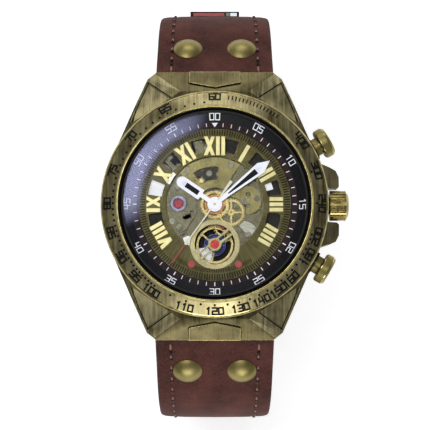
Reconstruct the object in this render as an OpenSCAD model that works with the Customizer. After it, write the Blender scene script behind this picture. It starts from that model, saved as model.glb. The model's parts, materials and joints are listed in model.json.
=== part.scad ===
// Skeleton wristwatch with a hooded-lug case, an openworked dial and a two-part leather strap.
// Origin: centre of the case back's outer face. +Z to the crystal, +Y to 12 o'clock, +X to the crown.

/* [Case] */
// Radius of the round middle of the case
case_r = 22.5; // [22:0.1:23]
// Half the distance from lug end to lug end
lug_y = 26.75; // [26:0.05:27.5]
// Half the width of a lug end
lug_x = 12.8; // [12.6:0.1:13.4]
// Height of the case middle's underside
case_z0 = 1.2; // [1:0.1:1.6]
// Height of the face that the bezel sits on
case_z1 = 9.8; // [9.8:0.1:10]
// Radius of the bore for the movement
bore_r = 17; // [16.9:0.1:17.2]
// Radius of the bezel's opening
bezel_in = 18.3; // [18.2:0.1:18.5]
// Height of the bezel's top
bezel_z1 = 13.6; // [13.4:0.1:14]
// Height of the stem's and the pushers' axes
stem_z = 6.3; // [6.2:0.05:6.4]

/* [Controls] */
// Radius of the crown
crown_r = 3; // [2.6:0.1:3.1]
// Length of the crown
crown_len = 3.7; // [3.4:0.1:4.2]
// Number of grooves around the crown
crown_grooves = 24; // [16:1:30]
// Angle of each pusher above and below the crown
pusher_angle = 30; // [29:1:32]
// Radius of a pusher's cap
pusher_r = 3; // [2.6:0.05:3.1]

/* [Strap] */
// Width of the strap at the lugs
strap_w = 24; // [23:0.5:24]
// Width of the strap at its lowest point
strap_w_end = 20; // [18:0.5:21]
// Thickness of the strap at the lugs
strap_t = 4; // [3.6:0.1:4]
// Thickness of the strap at its ends
strap_t_end = 2.6; // [2.2:0.1:2.8]
// Slope at which the strap leaves the lugs
strap_slope = 40; // [36:1:42]
// Straight stretch of strap from the spring bar
strap_straight = 13; // [12.6:0.1:14]
// Radius of the bend beyond the straight stretch
strap_bend = 19; // [18:0.5:20]

/* [Movement] */
// Number of barrel teeth
barrel_teeth = 72; // [72]
// Number of centre wheel teeth
centre_teeth = 60; // [60]
// Number of third wheel teeth
third_teeth = 64; // [64]
// Number of seconds wheel teeth
seconds_teeth = 60; // [60]
// Number of escape wheel teeth
escape_teeth = 18; // [15:1:20]
// Module of the barrel's and the centre wheel's teeth
gear_module = 0.15; // [0.15]

/* [Hidden] */
$fn = 64;

brass = [0.55, 0.40, 0.20];
gold = [0.86, 0.64, 0.32];
nickel = [0.66, 0.66, 0.66];
steel = [0.82, 0.82, 0.84];
ruby = [0.75, 0.10, 0.22];
leather = [0.27, 0.15, 0.11];

// ---- heights of the movement's layers
rotor_z = [2.5, 3.4];
bridge_z = [3.6, 4.6];
plate_z = [7.7, 8.7];
cock_z = [9.05, 9.35];
dial_z = [9.4, 9.8];
plate_r = 15.85;
window_r = 11.5;
dial_r = 15.1;
dial_in = 9.6;
fit = 0.02;

// ---- centres of the wheels
function polar(r, a) = [r * cos(a), r * sin(a)];
centre_leaves = 12;
third_leaves = 8;
seconds_leaves = 8;
escape_leaves = 6;
barrel_dist = (barrel_teeth + centre_leaves) * gear_module / 2;
third_dist = (centre_teeth + third_leaves) * gear_module / 2;
third_module = 2 * third_dist / (third_teeth + seconds_leaves);
escape_module = 0.14;
escape_dist = (seconds_teeth + escape_leaves) * escape_module / 2;
barrel_dir = 100;
third_dir = 20;
escape_dir = -70;
barrel_at = polar(barrel_dist, barrel_dir);
third_at = polar(third_dist, third_dir);
escape_at = polar(escape_dist, escape_dir);
balance_at = [0, -7.9];
pallet_at = [3.1, -5.9];
motion_dist = 3.6;
motion_dir = -25;
cannon_teeth = 12;
minute_teeth = 36;
minute_leaves = 12;
hour_teeth = 48;
cannon_module = 2 * motion_dist / (cannon_teeth + minute_teeth);
hour_module = 2 * motion_dist / (minute_leaves + hour_teeth);
motion_at = polar(motion_dist, motion_dir);
sub_ring_r = 4.9;
sub_ring_in = 3.95;
subdial_seat = 4.95;

// ---- [x, y, outer radius, bottom, top] of every jewel
main_jewels = [
    [third_at.x, third_at.y, 0.55, plate_z[0], 8.3],
    [escape_at.x, escape_at.y, 0.5, plate_z[0], 8.2],
    [third_at.x, third_at.y, 0.55, bridge_z[0], bridge_z[1]],
    [escape_at.x, escape_at.y, 0.5, bridge_z[0], bridge_z[1]],
    [pallet_at.x, pallet_at.y, 0.5, bridge_z[0], bridge_z[1]],
    [balance_at.x, balance_at.y, 0.6, bridge_z[0], bridge_z[1]],
    [0, 0, 0.6, bridge_z[1] - 0.5, bridge_z[1]]];
ruby_at = [-7.2, 0.2];
ruby_r = 0.95;
setting_r = 1.65;
bridge_jewel_r = 0.85;
pivot_r = 0.12;
jewel_hole_r = 0.15;

// ---- [x, y] of the dial-side screws, and of the back bridges' screws
cock_screws = [[3.15, 7.9], [-5.6, 6.6], [5.7, 0.75], [8.3, 1.2], [6.6, -5.9],
    [-8.4, -3.3], [-6.9, -4.5], [-7.6, 3.4]];
bridge_screw_dirs = [35, 145, 215, 325];
bridge_screw_ring = 14.4;
screw_head_r = 0.6;
screw_shank_r = 0.3;

// ---- the strap's route in the Y-Z plane: [out from the case, height, heading]
bar_y = 24.3;
bar_z = 4.2;
bar_r = 0.75;
bend_turn = 90 - strap_slope;
bend_len = strap_bend * bend_turn * PI / 180;
bend_centre = [bar_y + strap_straight * cos(strap_slope) - strap_bend * sin(strap_slope),
    bar_z - strap_straight * sin(strap_slope) - strap_bend * cos(strap_slope)];
crest_y = bend_centre.x + strap_bend;
function side(drop, turn_r) = [drop, turn_r];
upper_side = side(0.5, 22);
lower_side = side(25, 20);
upper_len = 75;
lower_len = 114;
function on_arc(c, r, heading) = [c.x - r * sin(heading), c.y + r * cos(heading), heading];
function route(s, half) =
    let (after_bend = s - strap_straight - bend_len,
        after_drop = after_bend - half[0],
        turn_len = half[1] * PI / 2,
        turn_centre = [crest_y - half[1], bend_centre.y - half[0]])
    s <= strap_straight
        ? [bar_y + s * cos(strap_slope), bar_z - s * sin(strap_slope), -strap_slope]
    : after_bend <= 0
        ? on_arc(bend_centre, strap_bend,
            -strap_slope - (s - strap_straight) / strap_bend * 180 / PI)
    : after_drop <= 0 ? [crest_y, bend_centre.y - after_bend, -90]
    : after_drop <= turn_len
        ? on_arc(turn_centre, half[1], -90 - after_drop / half[1] * 180 / PI)
    : [turn_centre.x - (after_drop - turn_len), turn_centre.y - half[1], -180];
function thickness(s, len) = strap_t + (strap_t_end - strap_t) * s / len;
function beside(p, out) = [p.x - out * sin(p.z), p.y + out * cos(p.z)];
// The outline starts a little behind the spring bar, so that it overlaps the round end
route_steps = 48;
root_s = -0.3;
function step_s(i, len) = root_s + (len - root_s) * i / route_steps;
function outline(len, half) = concat(
    [for (i = [0:route_steps]) let (s = step_s(i, len))
        beside(route(s, half), thickness(s, len) / 2)],
    [for (i = [route_steps:-1:0]) let (s = step_s(i, len))
        beside(route(s, half), -thickness(s, len) / 2)]);
strap_low = bend_centre.y - lower_side[0] - lower_side[1];
upper_end = route(upper_len, upper_side);
rivet_s = 9.6;
rivet_x = 5.5;
rivet_r = 3;
rivet_h = 1.25;
rivet_shank_r = 1.2;
tongue_slot_w = 2.6;
buckle_bar_r = 0.8;
hole_pitch = 6.5;

// ---- general shapes
module slab(z) translate([0, 0, z[0]]) linear_extrude(z[1] - z[0]) children();
module ring_2d(outer, inner)
difference() {
    circle(outer);
    circle(inner);
}
module tube(outer, inner, z) slab(z) ring_2d(outer, inner);
module disc(r, z) slab(z) circle(r);
module at(p) translate([p[0], p[1], 0]) children();
module along_x(x, r)
translate([x[0], 0, 0]) rotate([0, 90, 0]) cylinder(r = r, h = x[1] - x[0]);
module sector_2d(r, from, to)
polygon(concat([[0, 0]], [for (i = [0:8]) polar(r, from + (to - from) * i / 8)]));
module both_ends() {
    children();
    mirror([0, 1, 0]) children();
}

// Points of a wheel or pinion with straight-sided teeth, one tooth centred on the phase angle
function gear_points(teeth, mod, phase) =
    let (r = teeth * mod / 2, tip = r + 0.85 * mod, root = r - 1.15 * mod, pitch = 360 / teeth)
    [for (i = [0:teeth - 1])
        for (corner = [[root, -0.28], [tip, -0.1], [tip, 0.1], [root, 0.28]])
            polar(corner[0], phase + (i + corner[1]) * pitch)];
module gear_2d(teeth, mod, phase) polygon(gear_points(teeth, mod, phase));
module wheel_2d(teeth, mod, phase, rim, hub, spokes, spoke_w) {
    inner = teeth * mod / 2 - 1.15 * mod - rim;
    difference() {
        gear_2d(teeth, mod, phase);
        difference() {
            circle(inner);
            circle(hub);
            for (i = [1:spokes])
                rotate(i * 360 / spokes) translate([0, -spoke_w / 2]) square([inner + 0.1, spoke_w]);
        }
    }
}
function facing(direction, teeth) = direction + 180 + 180 / teeth;

// An arbor between the back bridge and the main plate, with a pivot at each end
module arbor(r) {
    disc(r, [bridge_z[1] + 0.05, plate_z[0] - 0.05]);
    disc(pivot_r, [bridge_z[1] - 0.4, bridge_z[1] + 0.1]);
    disc(pivot_r, [plate_z[0] - 0.1, plate_z[0] + 0.35]);
}
module jewel_seats() for (j = main_jewels) at(j) disc(j[2] + fit, [j[3] - 0.01, j[4]]);
module screw_holes(points, z) for (p = points) at(p) disc(screw_shank_r + fit, z);

// ---- case
// The sides run straight from each lug corner until they touch the round middle
touch_angle = atan2(lug_y, lug_x) - acos(case_r / norm([lug_x, lug_y]));
function round_side(middle) =
    [for (i = [-12:12]) polar(case_r, middle + i / 12 * touch_angle)];
module case_outline()
polygon(concat([[lug_x, -lug_y]], round_side(0), [[lug_x, lug_y], [-lug_x, lug_y]],
    round_side(180), [[-lug_x, -lug_y]]));
lug_top = 7.4;
hood_z = 6.9;
recess_y = 21.9;
recess_x = 12.1;
module case_profile()
rotate([90, 0, 90]) translate([0, 0, -30]) linear_extrude(60)
    polygon([[-lug_y, 3], [-recess_y, case_z0], [recess_y, case_z0], [lug_y, 3],
        [lug_y, lug_top], [case_r + 0.05, case_z1], [-case_r - 0.05, case_z1],
        [-lug_y, lug_top]]);
module crown_guard()
slab([3.4, 9.2])
polygon([[20, 3.3], [24.4, 3.4], [24.8, 3.8], [24.8, 5.9], [24.2, 7.1], [22.9, 7.7], [20, 8.6]]);
module facet(direction, start, tilt)
rotate([0, 0, direction]) translate([start, -30, case_z1]) rotate([0, tilt, 0]) cube([20, 60, 12]);
shield_w = 10.3;
shield_v = 23.4;
shield_side = 24.4;
shield_gap = 0.15;
module shield_2d(grow)
polygon([[0, shield_v - grow], [shield_w / 2 + grow, shield_side - grow],
    [shield_w / 2 + grow, lug_y + 1], [-shield_w / 2 - grow, lug_y + 1],
    [-shield_w / 2 - grow, shield_side - grow]]);
corner_cut = [1.2, 1.55];
module lug_corner_cut()
slab([0, 12]) polygon([[lug_x - corner_cut.x, lug_y], [lug_x + 0.75, lug_y - corner_cut.y],
    [lug_x + 3, lug_y - corner_cut.y], [lug_x + 3, lug_y + 1], [lug_x - corner_cut.x, lug_y + 1]]);
module case_middle()
color(brass) difference() {
    union() {
        intersection() {
            slab([case_z0, case_z1]) case_outline();
            case_profile();
        }
        both_ends() crown_guard();
    }
    disc(bore_r, [0, 12]);
    both_ends() {
        translate([-recess_x, recess_y, 0]) cube([2 * recess_x, 10, hood_z]);
        translate([0, bar_y, bar_z]) along_x([-13.1, 13.1], bar_r + fit);
        slab([hood_z + 0.25, 12]) shield_2d(shield_gap);
        for (s = [0, 1]) mirror([s, 0, 0]) {
            facet(57, case_r + 0.1, 20);
            facet(22.7, 21.2, 45);
            lug_corner_cut();
        }
        rotate(pusher_angle) translate([0, 0, stem_z]) along_x([16, 30], 2.32);
    }
    translate([0, 0, stem_z]) along_x([16, 30], 1.62);
    back_screw_places() disc(0.62, [0, 3.6]);
}
module lug_shields()
color(brass) intersection() {
    both_ends() slab([hood_z + 0.27, 12]) shield_2d(0);
    rotate([90, 0, 90]) translate([0, 0, -30]) linear_extrude(60)
        polygon([[-lug_y - 0.1, 7], [lug_y + 0.1, 7], [lug_y + 0.1, lug_top + 0.35],
            [shield_v, case_z1 - 0.05], [-shield_v, case_z1 - 0.05], [-lug_y - 0.1, lug_top + 0.35]]);
}
module bezel()
color(brass) rotate_extrude($fn = 128)
    polygon([[bezel_in, case_z1], [22.2, case_z1], [22.5, 10.2], [22.5, 11], [22.2, 11.4],
        [19.3, 13.2], [19.1, bezel_z1], [bezel_in, bezel_z1]]);
glass_r = 17.9;
glass_z = [12.1, 13.2];
module crystal()
color([0.85, 0.88, 0.95, 0.25]) rotate_extrude($fn = 128)
    polygon([[0, glass_z[0]], [glass_r, glass_z[0]], [glass_r, glass_z[1]],
        for (i = [8:-1:0]) [glass_r * i / 8.5, glass_z[1] + 0.6 * (1 - pow(i / 8.5, 2))]]);
module crystal_gasket()
color([0.08, 0.08, 0.08]) tube(bezel_in, glass_r, glass_z);
module flange_ring()
color([0.12, 0.09, 0.08]) rotate_extrude($fn = 128)
    polygon([[dial_r, dial_z[1]], [bezel_in - 0.05, dial_z[1]], [bezel_in - 0.05, 12],
        [18.1, 12], [16.4, 10.5], [dial_r, 10.3]]);
module back_screw_places()
for (i = [0:5]) rotate(30 + 60 * i) translate([18.4, 0, 0]) children();
module case_back()
color(brass) difference() {
    union() {
        disc(20.2, [0, case_z0]);
        disc(bore_r - 0.05, [case_z0 - 0.1, 2.2]);
    }
    disc(window_r, [-1, 3]);
    disc(12.25, [0.6, 3]);
    back_screw_places() {
        disc(0.62, [-1, 3]);
        disc(1.05, [-1, 0.5]);
    }
}
module back_window() color([0.85, 0.88, 0.95, 0.25]) disc(12.2, [0.62, 1.7]);
module back_screws()
color(steel) back_screw_places() difference() {
    union() {
        disc(0.6, [0.1, 3.4]);
        disc(1, [0.05, 0.48]);
    }
    translate([-1.2, -0.12, -0.1]) cube([2.4, 0.24, 0.35]);
}
module case_tubes()
color(brass) {
    both_ends() rotate(pusher_angle) translate([0, 0, stem_z]) difference() {
        along_x([20, 23], 2.3);
        along_x([19, 24], 1.85);
    }
    translate([0, 0, stem_z]) difference() {
        along_x([18, 23.4], 1.6);
        along_x([17, 24], 0.55);
    }
}
module spring_bars()
color(steel) both_ends() translate([0, bar_y, bar_z]) {
    along_x([-12.9, 12.9], bar_r);
}
module movement_ring()
color(nickel) difference() {
    tube(bore_r - fit, plate_r + fit, [2.3, dial_z[0] - 0.02]);
    translate([0, 0, stem_z]) along_x([14, 20], 0.8);
}

// ---- fixed parts of the movement
module plate_windows_2d() {
    at(balance_at) circle(4.3);
    at(barrel_at) difference() {
        ring_2d(3.3, 1.7);
        rotate(barrel_dir) square([8, 1.4], center = true);
    }
    difference() {
        ring_2d(13.4, 9.9);
        for (i = [0:11]) rotate(i * 30 + 15) translate([0, -0.9]) square([16, 1.8]);
        rotate(-90) sector_2d(20, -62, 62);
    }
    rotate(205) translate([5.2, -1.6]) square([3.4, 2.6]);
}
module main_plate()
color(nickel) difference() {
    slab(plate_z) difference() {
        circle(plate_r);
        circle(0.75);
        plate_windows_2d();
    }
    at(barrel_at) disc(0.72, [0, 10]);
    jewel_seats();
    screw_holes(cock_screws, [8, 10]);
    for (a = bridge_screw_dirs) rotate(a) translate([bridge_screw_ring, 0, 0])
        disc(screw_shank_r + fit, [7, 8.4]);
}
module dial_slots_2d()
for (h = [0:11]) if (h != 4 && h != 5 && h != 6 && h != 7)
    rotate(75 - 30 * h) intersection() {
        ring_2d(13.3, 10.6);
        sector_2d(16, -6.5, 6.5);
    }
module dial()
color(brass) slab(dial_z) difference() {
    ring_2d(dial_r, dial_in);
    at(balance_at) circle(subdial_seat);
    dial_slots_2d();
}
// Roman numerals as bars that run outwards from the centre
numeral_out = 13.5;
stroke_w = 0.75;
numeral_hours = [12, 1, 2, 3, 4, 8, 9, 10, 11];
numeral_in = [9.75, 9.75, 10.1, 10.8, 10.8, 10.8, 10.8, 10.1, 9.75];
numeral_marks = ["XII", "I", "II", "III", "IIII", "VIII", "IX", "X", "XI"];
function mark_w(c) = c == "I" ? 1.05 : c == "V" ? 2.1 : 2.3;
function marks_w(word, n) = n == 0 ? 0 : mark_w(word[n - 1]) + marks_w(word, n - 1);
module slanted_bar_2d(y0, y1, x0, x1)
polygon([[y0, x0 - stroke_w / 2], [y1, x1 - stroke_w / 2], [y1, x1 + stroke_w / 2],
    [y0, x0 + stroke_w / 2]]);
module mark_2d(c, r0, r1) {
    if (c == "I") slanted_bar_2d(r0, r1, 0, 0);
    if (c == "V") {
        slanted_bar_2d(r0, r1, 0, 0.65);
        slanted_bar_2d(r0, r1, 0, -0.65);
    }
    if (c == "X") {
        slanted_bar_2d(r0, r1, -0.75, 0.75);
        slanted_bar_2d(r0, r1, 0.75, -0.75);
    }
}
module hour_numerals()
color(gold) slab([dial_z[1], 10.02]) for (i = [0:len(numeral_hours) - 1]) {
    word = numeral_marks[i];
    total = marks_w(word, len(word));
    rotate(90 - 30 * numeral_hours[i]) for (k = [0:len(word) - 1])
        translate([0, total / 2 - marks_w(word, k) - mark_w(word[k]) / 2])
            mark_2d(word[k], numeral_in[i], numeral_out);
}
module cock_holes(z) screw_holes(cock_screws, z);
module dial_side_plate()
color(nickel) difference() {
    union() {
        slab([plate_z[1], cock_z[1]]) difference() {
            intersection() {
                circle(9.45);
                polygon([[-3.6, 4.6], [-10, 4.6], [-10, -6], [-6.3, -6], [-4.6, -3.4], [-3.6, -1.8]]);
            }
            circle(3.4);
            at(balance_at) circle(subdial_seat + 0.1);
            at(barrel_at) circle(4.2);
            at(ruby_at) circle(setting_r + fit);
            translate([-6.1, -3.1]) rotate(20) square([1.6, 0.8]);
            at([-4.5, -1.6]) circle(0.35);
        }
    }
    cock_holes([8, 10]);
}
ratchet_teeth = 36;
ratchet_module = 0.2;
module top_bridge()
color(gold) difference() {
    union() {
        slab(cock_z) intersection() {
            ring_2d(9.4, 3.4);
            sector_2d(12, 58, 138);
        }
        for (i = [0, 1]) at(cock_screws[i]) disc(0.75, [plate_z[1], cock_z[1]]);
    }
    slab([9, 10]) intersection() {
        ring_2d(7.6, 4.9);
        sector_2d(12, 84, 124);
    }
    at(barrel_at) disc(0.6, [9, 10]);
    cock_holes([8, 10]);
}
module centre_cock()
color(gold) difference() {
    slab([plate_z[1], cock_z[1]]) difference() {
        intersection() {
            union() {
                at([6.6, 0.85]) circle(2.75);
                translate([3.3, -0.6]) square([3, 2.9]);
            }
            circle(9.45);
        }
        circle(3.15);
        at(motion_at) circle(3);
        at([6.6, 2]) circle(0.5);
        at([6.6, -0.3]) circle(0.5);
    }
    cock_holes([8, 10]);
}
module leaf_plate()
color(steel) difference() {
    slab([plate_z[1], cock_z[1] - 0.1]) intersection() {
        at([4.6, -8.2]) circle(5.2);
        at([9.6, -1.2]) circle(5.6);
        circle(9.45);
    }
    at(balance_at) disc(subdial_seat + 0.1, [8, 10]);
    at(motion_at) disc(3, [8, 10]);
    cock_holes([8, 10]);
}
bar_dir = 40;
module balance_bridge()
color(gold) at(balance_at) difference() {
    union() {
        tube(sub_ring_r, sub_ring_in, [9.45, 10]);
        slab([9.45, 9.8]) intersection() {
            circle(4.3);
            union() {
                rotate(bar_dir) for (y = [-0.75, 0.35]) translate([-5, y]) square([10, 0.4]);
                circle(1.3);
            }
        }
        for (a = [-20, 200, 270]) rotate(a) translate([4.62, 0, 0])
            disc(0.25, [plate_z[1], 9.5]);
    }
    disc(bridge_jewel_r + fit, [9, 11]);
}
module back_bridge(from, to)
difference() {
    union() {
        slab(bridge_z) intersection() {
            circle(15.6);
            sector_2d(22, from, to);
        }
        for (a = bridge_screw_dirs) if (a > from && a < to)
            rotate(a) translate([bridge_screw_ring, 0, 0]) disc(0.9, [4.5, plate_z[0]]);
    }
    jewel_seats();
    for (a = bridge_screw_dirs) rotate(a) translate([bridge_screw_ring, 0, 0])
        disc(screw_shank_r + fit, [3, 9]);
}
module barrel_bridge()
color(nickel) difference() {
    back_bridge(8, 172);
    disc(3.2, [3, 5]);
    at(barrel_at) disc(0.72, [3, 5]);
}
module train_bridge()
color(nickel) {
    difference() {
        union() {
            back_bridge(172.6, 367.4);
            disc(3.1, bridge_z);
        }
        at(third_at) disc(0.57, [3, 5]);
        disc(0.62, [bridge_z[1] - 0.5, 5]);
    }
}
module jewels()
color(ruby) {
    for (j = main_jewels) at(j) tube(j[2], jewel_hole_r, [j[3], j[4]]);
    at(ruby_at) disc(ruby_r, [9.1, 9.55]);
    at(balance_at) difference() {
        disc(bridge_jewel_r, [9.45, 9.85]);
        disc(jewel_hole_r, [9.4, 9.65]);
    }
}
module jewel_settings()
color(steel) at(ruby_at) difference() {
    disc(setting_r, [plate_z[1], 9.5]);
    disc(ruby_r + fit, [9.08, 9.6]);
}
module slotted_screw(z_head, head_h, z_end) difference() {
    union() {
        disc(screw_head_r, [z_head, z_head + head_h]);
        disc(screw_shank_r, [z_end, z_head + 0.05]);
    }
    translate([-1, -0.09, z_head + head_h - 0.12]) cube([2, 0.18, 0.2]);
}
module bridge_screws()
color(steel) {
    for (p = cock_screws) at(p) rotate(37 * p[0]) slotted_screw(cock_z[1], 0.2, 8.05);
    for (a = bridge_screw_dirs) rotate(a) translate([bridge_screw_ring, 0, 0])
        difference() {
            union() {
                disc(screw_head_r, [bridge_z[0] - 0.25, bridge_z[0]]);
                disc(screw_shank_r, [bridge_z[0] - 0.05, 8.3]);
            }
            translate([-1, -0.09, bridge_z[0] - 0.35]) cube([2, 0.18, 0.22]);
        }
}
module rotor_post() color(steel) {
    disc(1.5, [2.4, bridge_z[0]]);
    disc(2.1, [2.35, 2.46]);
}

// ---- going train
module barrel_drum()
color(gold) at(barrel_at) difference() {
    union() {
        slab([5.6, 6]) gear_2d(barrel_teeth, gear_module, facing(barrel_dir, barrel_teeth));
        disc(4.95, [5.9, 7.2]);
    }
    tube(4.6, 0.9, [5.75, 7.05]);
    disc(0.64, [5, 8]);
}
module mainspring()
color(steel) at(barrel_at) for (i = [0:5])
    tube(4.45 - 0.45 * i, 4.25 - 0.45 * i, [5.85, 6.95]);
module barrel_arbor()
color(steel) at(barrel_at) {
    disc(0.6, [bridge_z[0] + 0.1, 9.25]);
}
module ratchet_wheel()
color([0.25, 0.24, 0.24]) at(barrel_at) slab([8.72, 8.98]) difference() {
    gear_2d(ratchet_teeth, ratchet_module, 0);
    circle(0.6);
    for (i = [0:4]) rotate(72 * i) translate([2, 0]) circle(0.65);
}
module centre_wheel()
color(gold) {
    difference() {
        union() {
            slab([7.3, 7.5])
                wheel_2d(centre_teeth, gear_module, third_dir, 0.5, 1, 4, 0.45);
            slab([5.55, 6.15]) gear_2d(centre_leaves, gear_module, barrel_dir);
            disc(0.6, [6.1, 7.4]);
        }
        disc(0.3, [5, 8]);
    }
}
module cannon_pinion()
color(steel) difference() {
    union() {
        disc(0.5, [7.5, 10.7]);
        slab([8.78, 9.05]) gear_2d(cannon_teeth, cannon_module, motion_dir);
    }
    disc(0.3, [7, 11]);
}
module third_wheel()
color(gold) at(third_at) {
    slab([5.05, 5.25])
        wheel_2d(third_teeth, third_module, facing(third_dir, third_teeth), 0.45, 0.9, 4, 0.4);
    slab([7.2, 7.6]) gear_2d(third_leaves, gear_module, facing(third_dir, third_leaves));
    arbor(0.25);
}
seconds_z = 10.9;
module seconds_wheel()
color(gold) {
    slab([4.75, 4.95])
        wheel_2d(seconds_teeth, escape_module, escape_dir, 0.45, 0.9, 5, 0.35);
    slab([4.9, 5.35]) gear_2d(seconds_leaves, third_module, third_dir);
    disc(0.2, [4.7, seconds_z + 0.1]);
    disc(pivot_r, [4.3, 4.75]);
}
module escape_wheel()
color(gold) at(escape_at) {
    slab([4.7, 5.1]) gear_2d(escape_leaves, escape_module, facing(escape_dir, escape_leaves));
    slab([6.2, 6.35]) difference() {
        polygon([for (i = [0:escape_teeth - 1]) for (c = [[1.55, -0.3], [2, 0.1], [2, 0.22], [1.55, 0.15]])
            polar(c[0], (i + c[1]) * 360 / escape_teeth)]);
        difference() {
            circle(1.3);
            circle(0.5);
            for (i = [0:3]) rotate(90 * i + 20) translate([0, -0.12]) square([1.5, 0.24]);
        }
    }
    arbor(0.22);
}
module pallet_fork() {
    to_escape = atan2(escape_at.y - pallet_at.y, escape_at.x - pallet_at.x);
    to_balance = atan2(balance_at.y - pallet_at.y, balance_at.x - pallet_at.x);
    color(steel) at(pallet_at) {
        slab([6.45, 6.55]) {
            rotate(to_balance) translate([0, -0.16]) square([2.7, 0.32]);
            rotate(to_balance) translate([2.6, -0.34]) square([0.45, 0.68]);
            rotate(to_escape) translate([-0.1, -1.3]) square([0.35, 2.6]);
        }
        disc(0.22, [4.65, 6.6]);
        disc(pivot_r, [4.3, 4.7]);
    }
}
module balance_wheel()
color(gold) at(balance_at) {
    slab([6.65, 7.1]) {
        ring_2d(3.7, 3.2);
        rotate(20) for (i = [0:2]) rotate(120 * i) translate([0, -0.2]) square([3.3, 0.4]);
        circle(0.7);
    }
    disc(0.2, [4.65, 9.4]);
    disc(pivot_r, [4.3, 4.7]);
    disc(pivot_r, [9.35, 9.6]);
}
module hairspring()
color([0.35, 0.4, 0.6]) at(balance_at) {
    for (i = [0:4]) tube(0.75 + 0.35 * i, 0.68 + 0.35 * i, [7.2, 7.38]);
    difference() {
        slab([7.2, 7.3]) square([4.2, 0.12], center = true);
        disc(0.65, [7, 8]);
    }
    tube(0.7, 0.2, [7.12, 7.38]);
}
module minute_wheel()
color(gold) at(motion_at) {
    difference() {
        union() {
            slab([8.85, 9]) wheel_2d(minute_teeth, cannon_module,
                facing(motion_dir, minute_teeth), 0.4, 0.7, 4, 0.35);
            slab([8.95, 9.38]) gear_2d(minute_leaves, hour_module, facing(motion_dir, minute_leaves));
        }
        disc(0.2, [8, 10]);
    }
}
module hour_wheel()
color(gold) difference() {
    union() {
        slab([9.12, 9.32]) wheel_2d(hour_teeth, hour_module, motion_dir, 0.5, 1.3, 5, 0.4);
        disc(0.8, [9.12, 10.32]);
    }
    disc(0.55, [9, 11]);
}

// ---- hands, drawn pointing along +X and turned to the time shown
hour_angle = 90 - 304.3;
minute_angle = 90 - 51.6;
seconds_angle = 90 - 216;
module hour_hand()
color(steel) rotate(hour_angle) slab([10.1, 10.3]) difference() {
    union() {
        circle(1.45);
        translate([0, -0.45]) square([4, 0.9]);
        translate([3.2, -1.12]) square([4.6, 2.24]);
        translate([7.8, 0]) circle(1.12);
    }
    circle(0.8);
    translate([3.9, -0.5]) square([3.9, 1]);
}
module minute_hand()
color(steel) rotate(minute_angle) slab([10.45, 10.65]) difference() {
    union() {
        circle(1.15);
        polygon([[0, -0.45], [3, -0.5], [11.6, -1.15], [13.9, 0], [11.6, 1.15], [3, 0.5], [0, 0.45]]);
    }
    circle(0.5);
    polygon([[3.4, -0.12], [10.8, -0.6], [11.8, 0], [10.8, 0.6], [3.4, 0.12]]);
}
module seconds_hand()
color(steel) rotate(seconds_angle) slab([seconds_z, seconds_z + 0.1]) difference() {
    union() {
        circle(0.6);
        polygon([[-5.6, -0.3], [-2, -0.16], [8.2, -0.1], [9.2, -0.6], [10.1, -0.1], [14.4, -0.06],
            [14.4, 0.06], [10.1, 0.1], [9.2, 0.6], [8.2, 0.1], [-2, 0.16], [-5.6, 0.3]]);
    }
    circle(0.2);
}
module seconds_cap()
color(steel) tube(1.04, 0.3, [seconds_z + 0.1, seconds_z + 0.3]);

// ---- automatic winding
module rotor()
color(gold) slab([2.6, 3]) difference() {
    union() {
        intersection() {
            ring_2d(10.2, 1.55);
            sector_2d(20, 200, 340);
        }
        circle(3);
    }
    circle(1.55);
    intersection() {
        ring_2d(8.6, 4.2);
        union() {
            sector_2d(20, 212, 264);
            sector_2d(20, 276, 328);
        }
    }
}
module rotor_weight()
color(steel) slab([2.55, 3.4]) intersection() {
    ring_2d(11.1, 10.22);
    sector_2d(20, 196, 344);
}

// ---- crown, stem and pushers
crown_x = 22.9;
module crown()
color(brass) translate([0, 0, stem_z]) difference() {
    union() {
        along_x([crown_x, crown_x + crown_len - 0.5], crown_r);
        translate([crown_x + crown_len - 0.5, 0, 0]) rotate([0, 90, 0])
            cylinder(r1 = crown_r - 0.1, r2 = crown_r - 0.9, h = 0.5);
    }
    along_x([crown_x - 1, crown_x + 1.9], 1.95);
    along_x([crown_x, crown_x + 2.6], 0.5 + fit);
    for (i = [1:crown_grooves]) rotate([i * 360 / crown_grooves, 0, 0])
        translate([crown_x - 0.1, crown_r - 0.3, -0.14]) cube([crown_len - 0.5, 1, 0.28]);
}
module winding_stem()
color(steel) translate([0, 0, stem_z]) along_x([8.7, crown_x + 2.5], 0.5);
module clutch_pinion()
color(steel) translate([0, 0, stem_z]) difference() {
    union() {
        along_x([9.6, 10.6], 0.85);
        along_x([10.5, 11.2], 0.7);
    }
    along_x([9, 12], 0.5 + fit);
    for (i = [1:12]) rotate([30 * i, 0, 0]) translate([9.5, 0.6, -0.1]) cube([0.6, 1, 0.2]);
}
module pusher()
color(brass) rotate(pusher_angle) translate([0, 0, stem_z]) {
    along_x([18.4, 24.3], 1.8);
    translate([24.2, 0, 0]) rotate([0, 90, 0]) rotate_extrude()
        polygon([[0, 0], [pusher_r - 0.2, 0], [pusher_r, 0.2], [pusher_r, 1.7],
            [pusher_r - 0.45, 2.2], [0, 2.2]]);
}
module pusher_upper() pusher();
module pusher_lower() mirror([0, 1, 0]) pusher();

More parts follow.
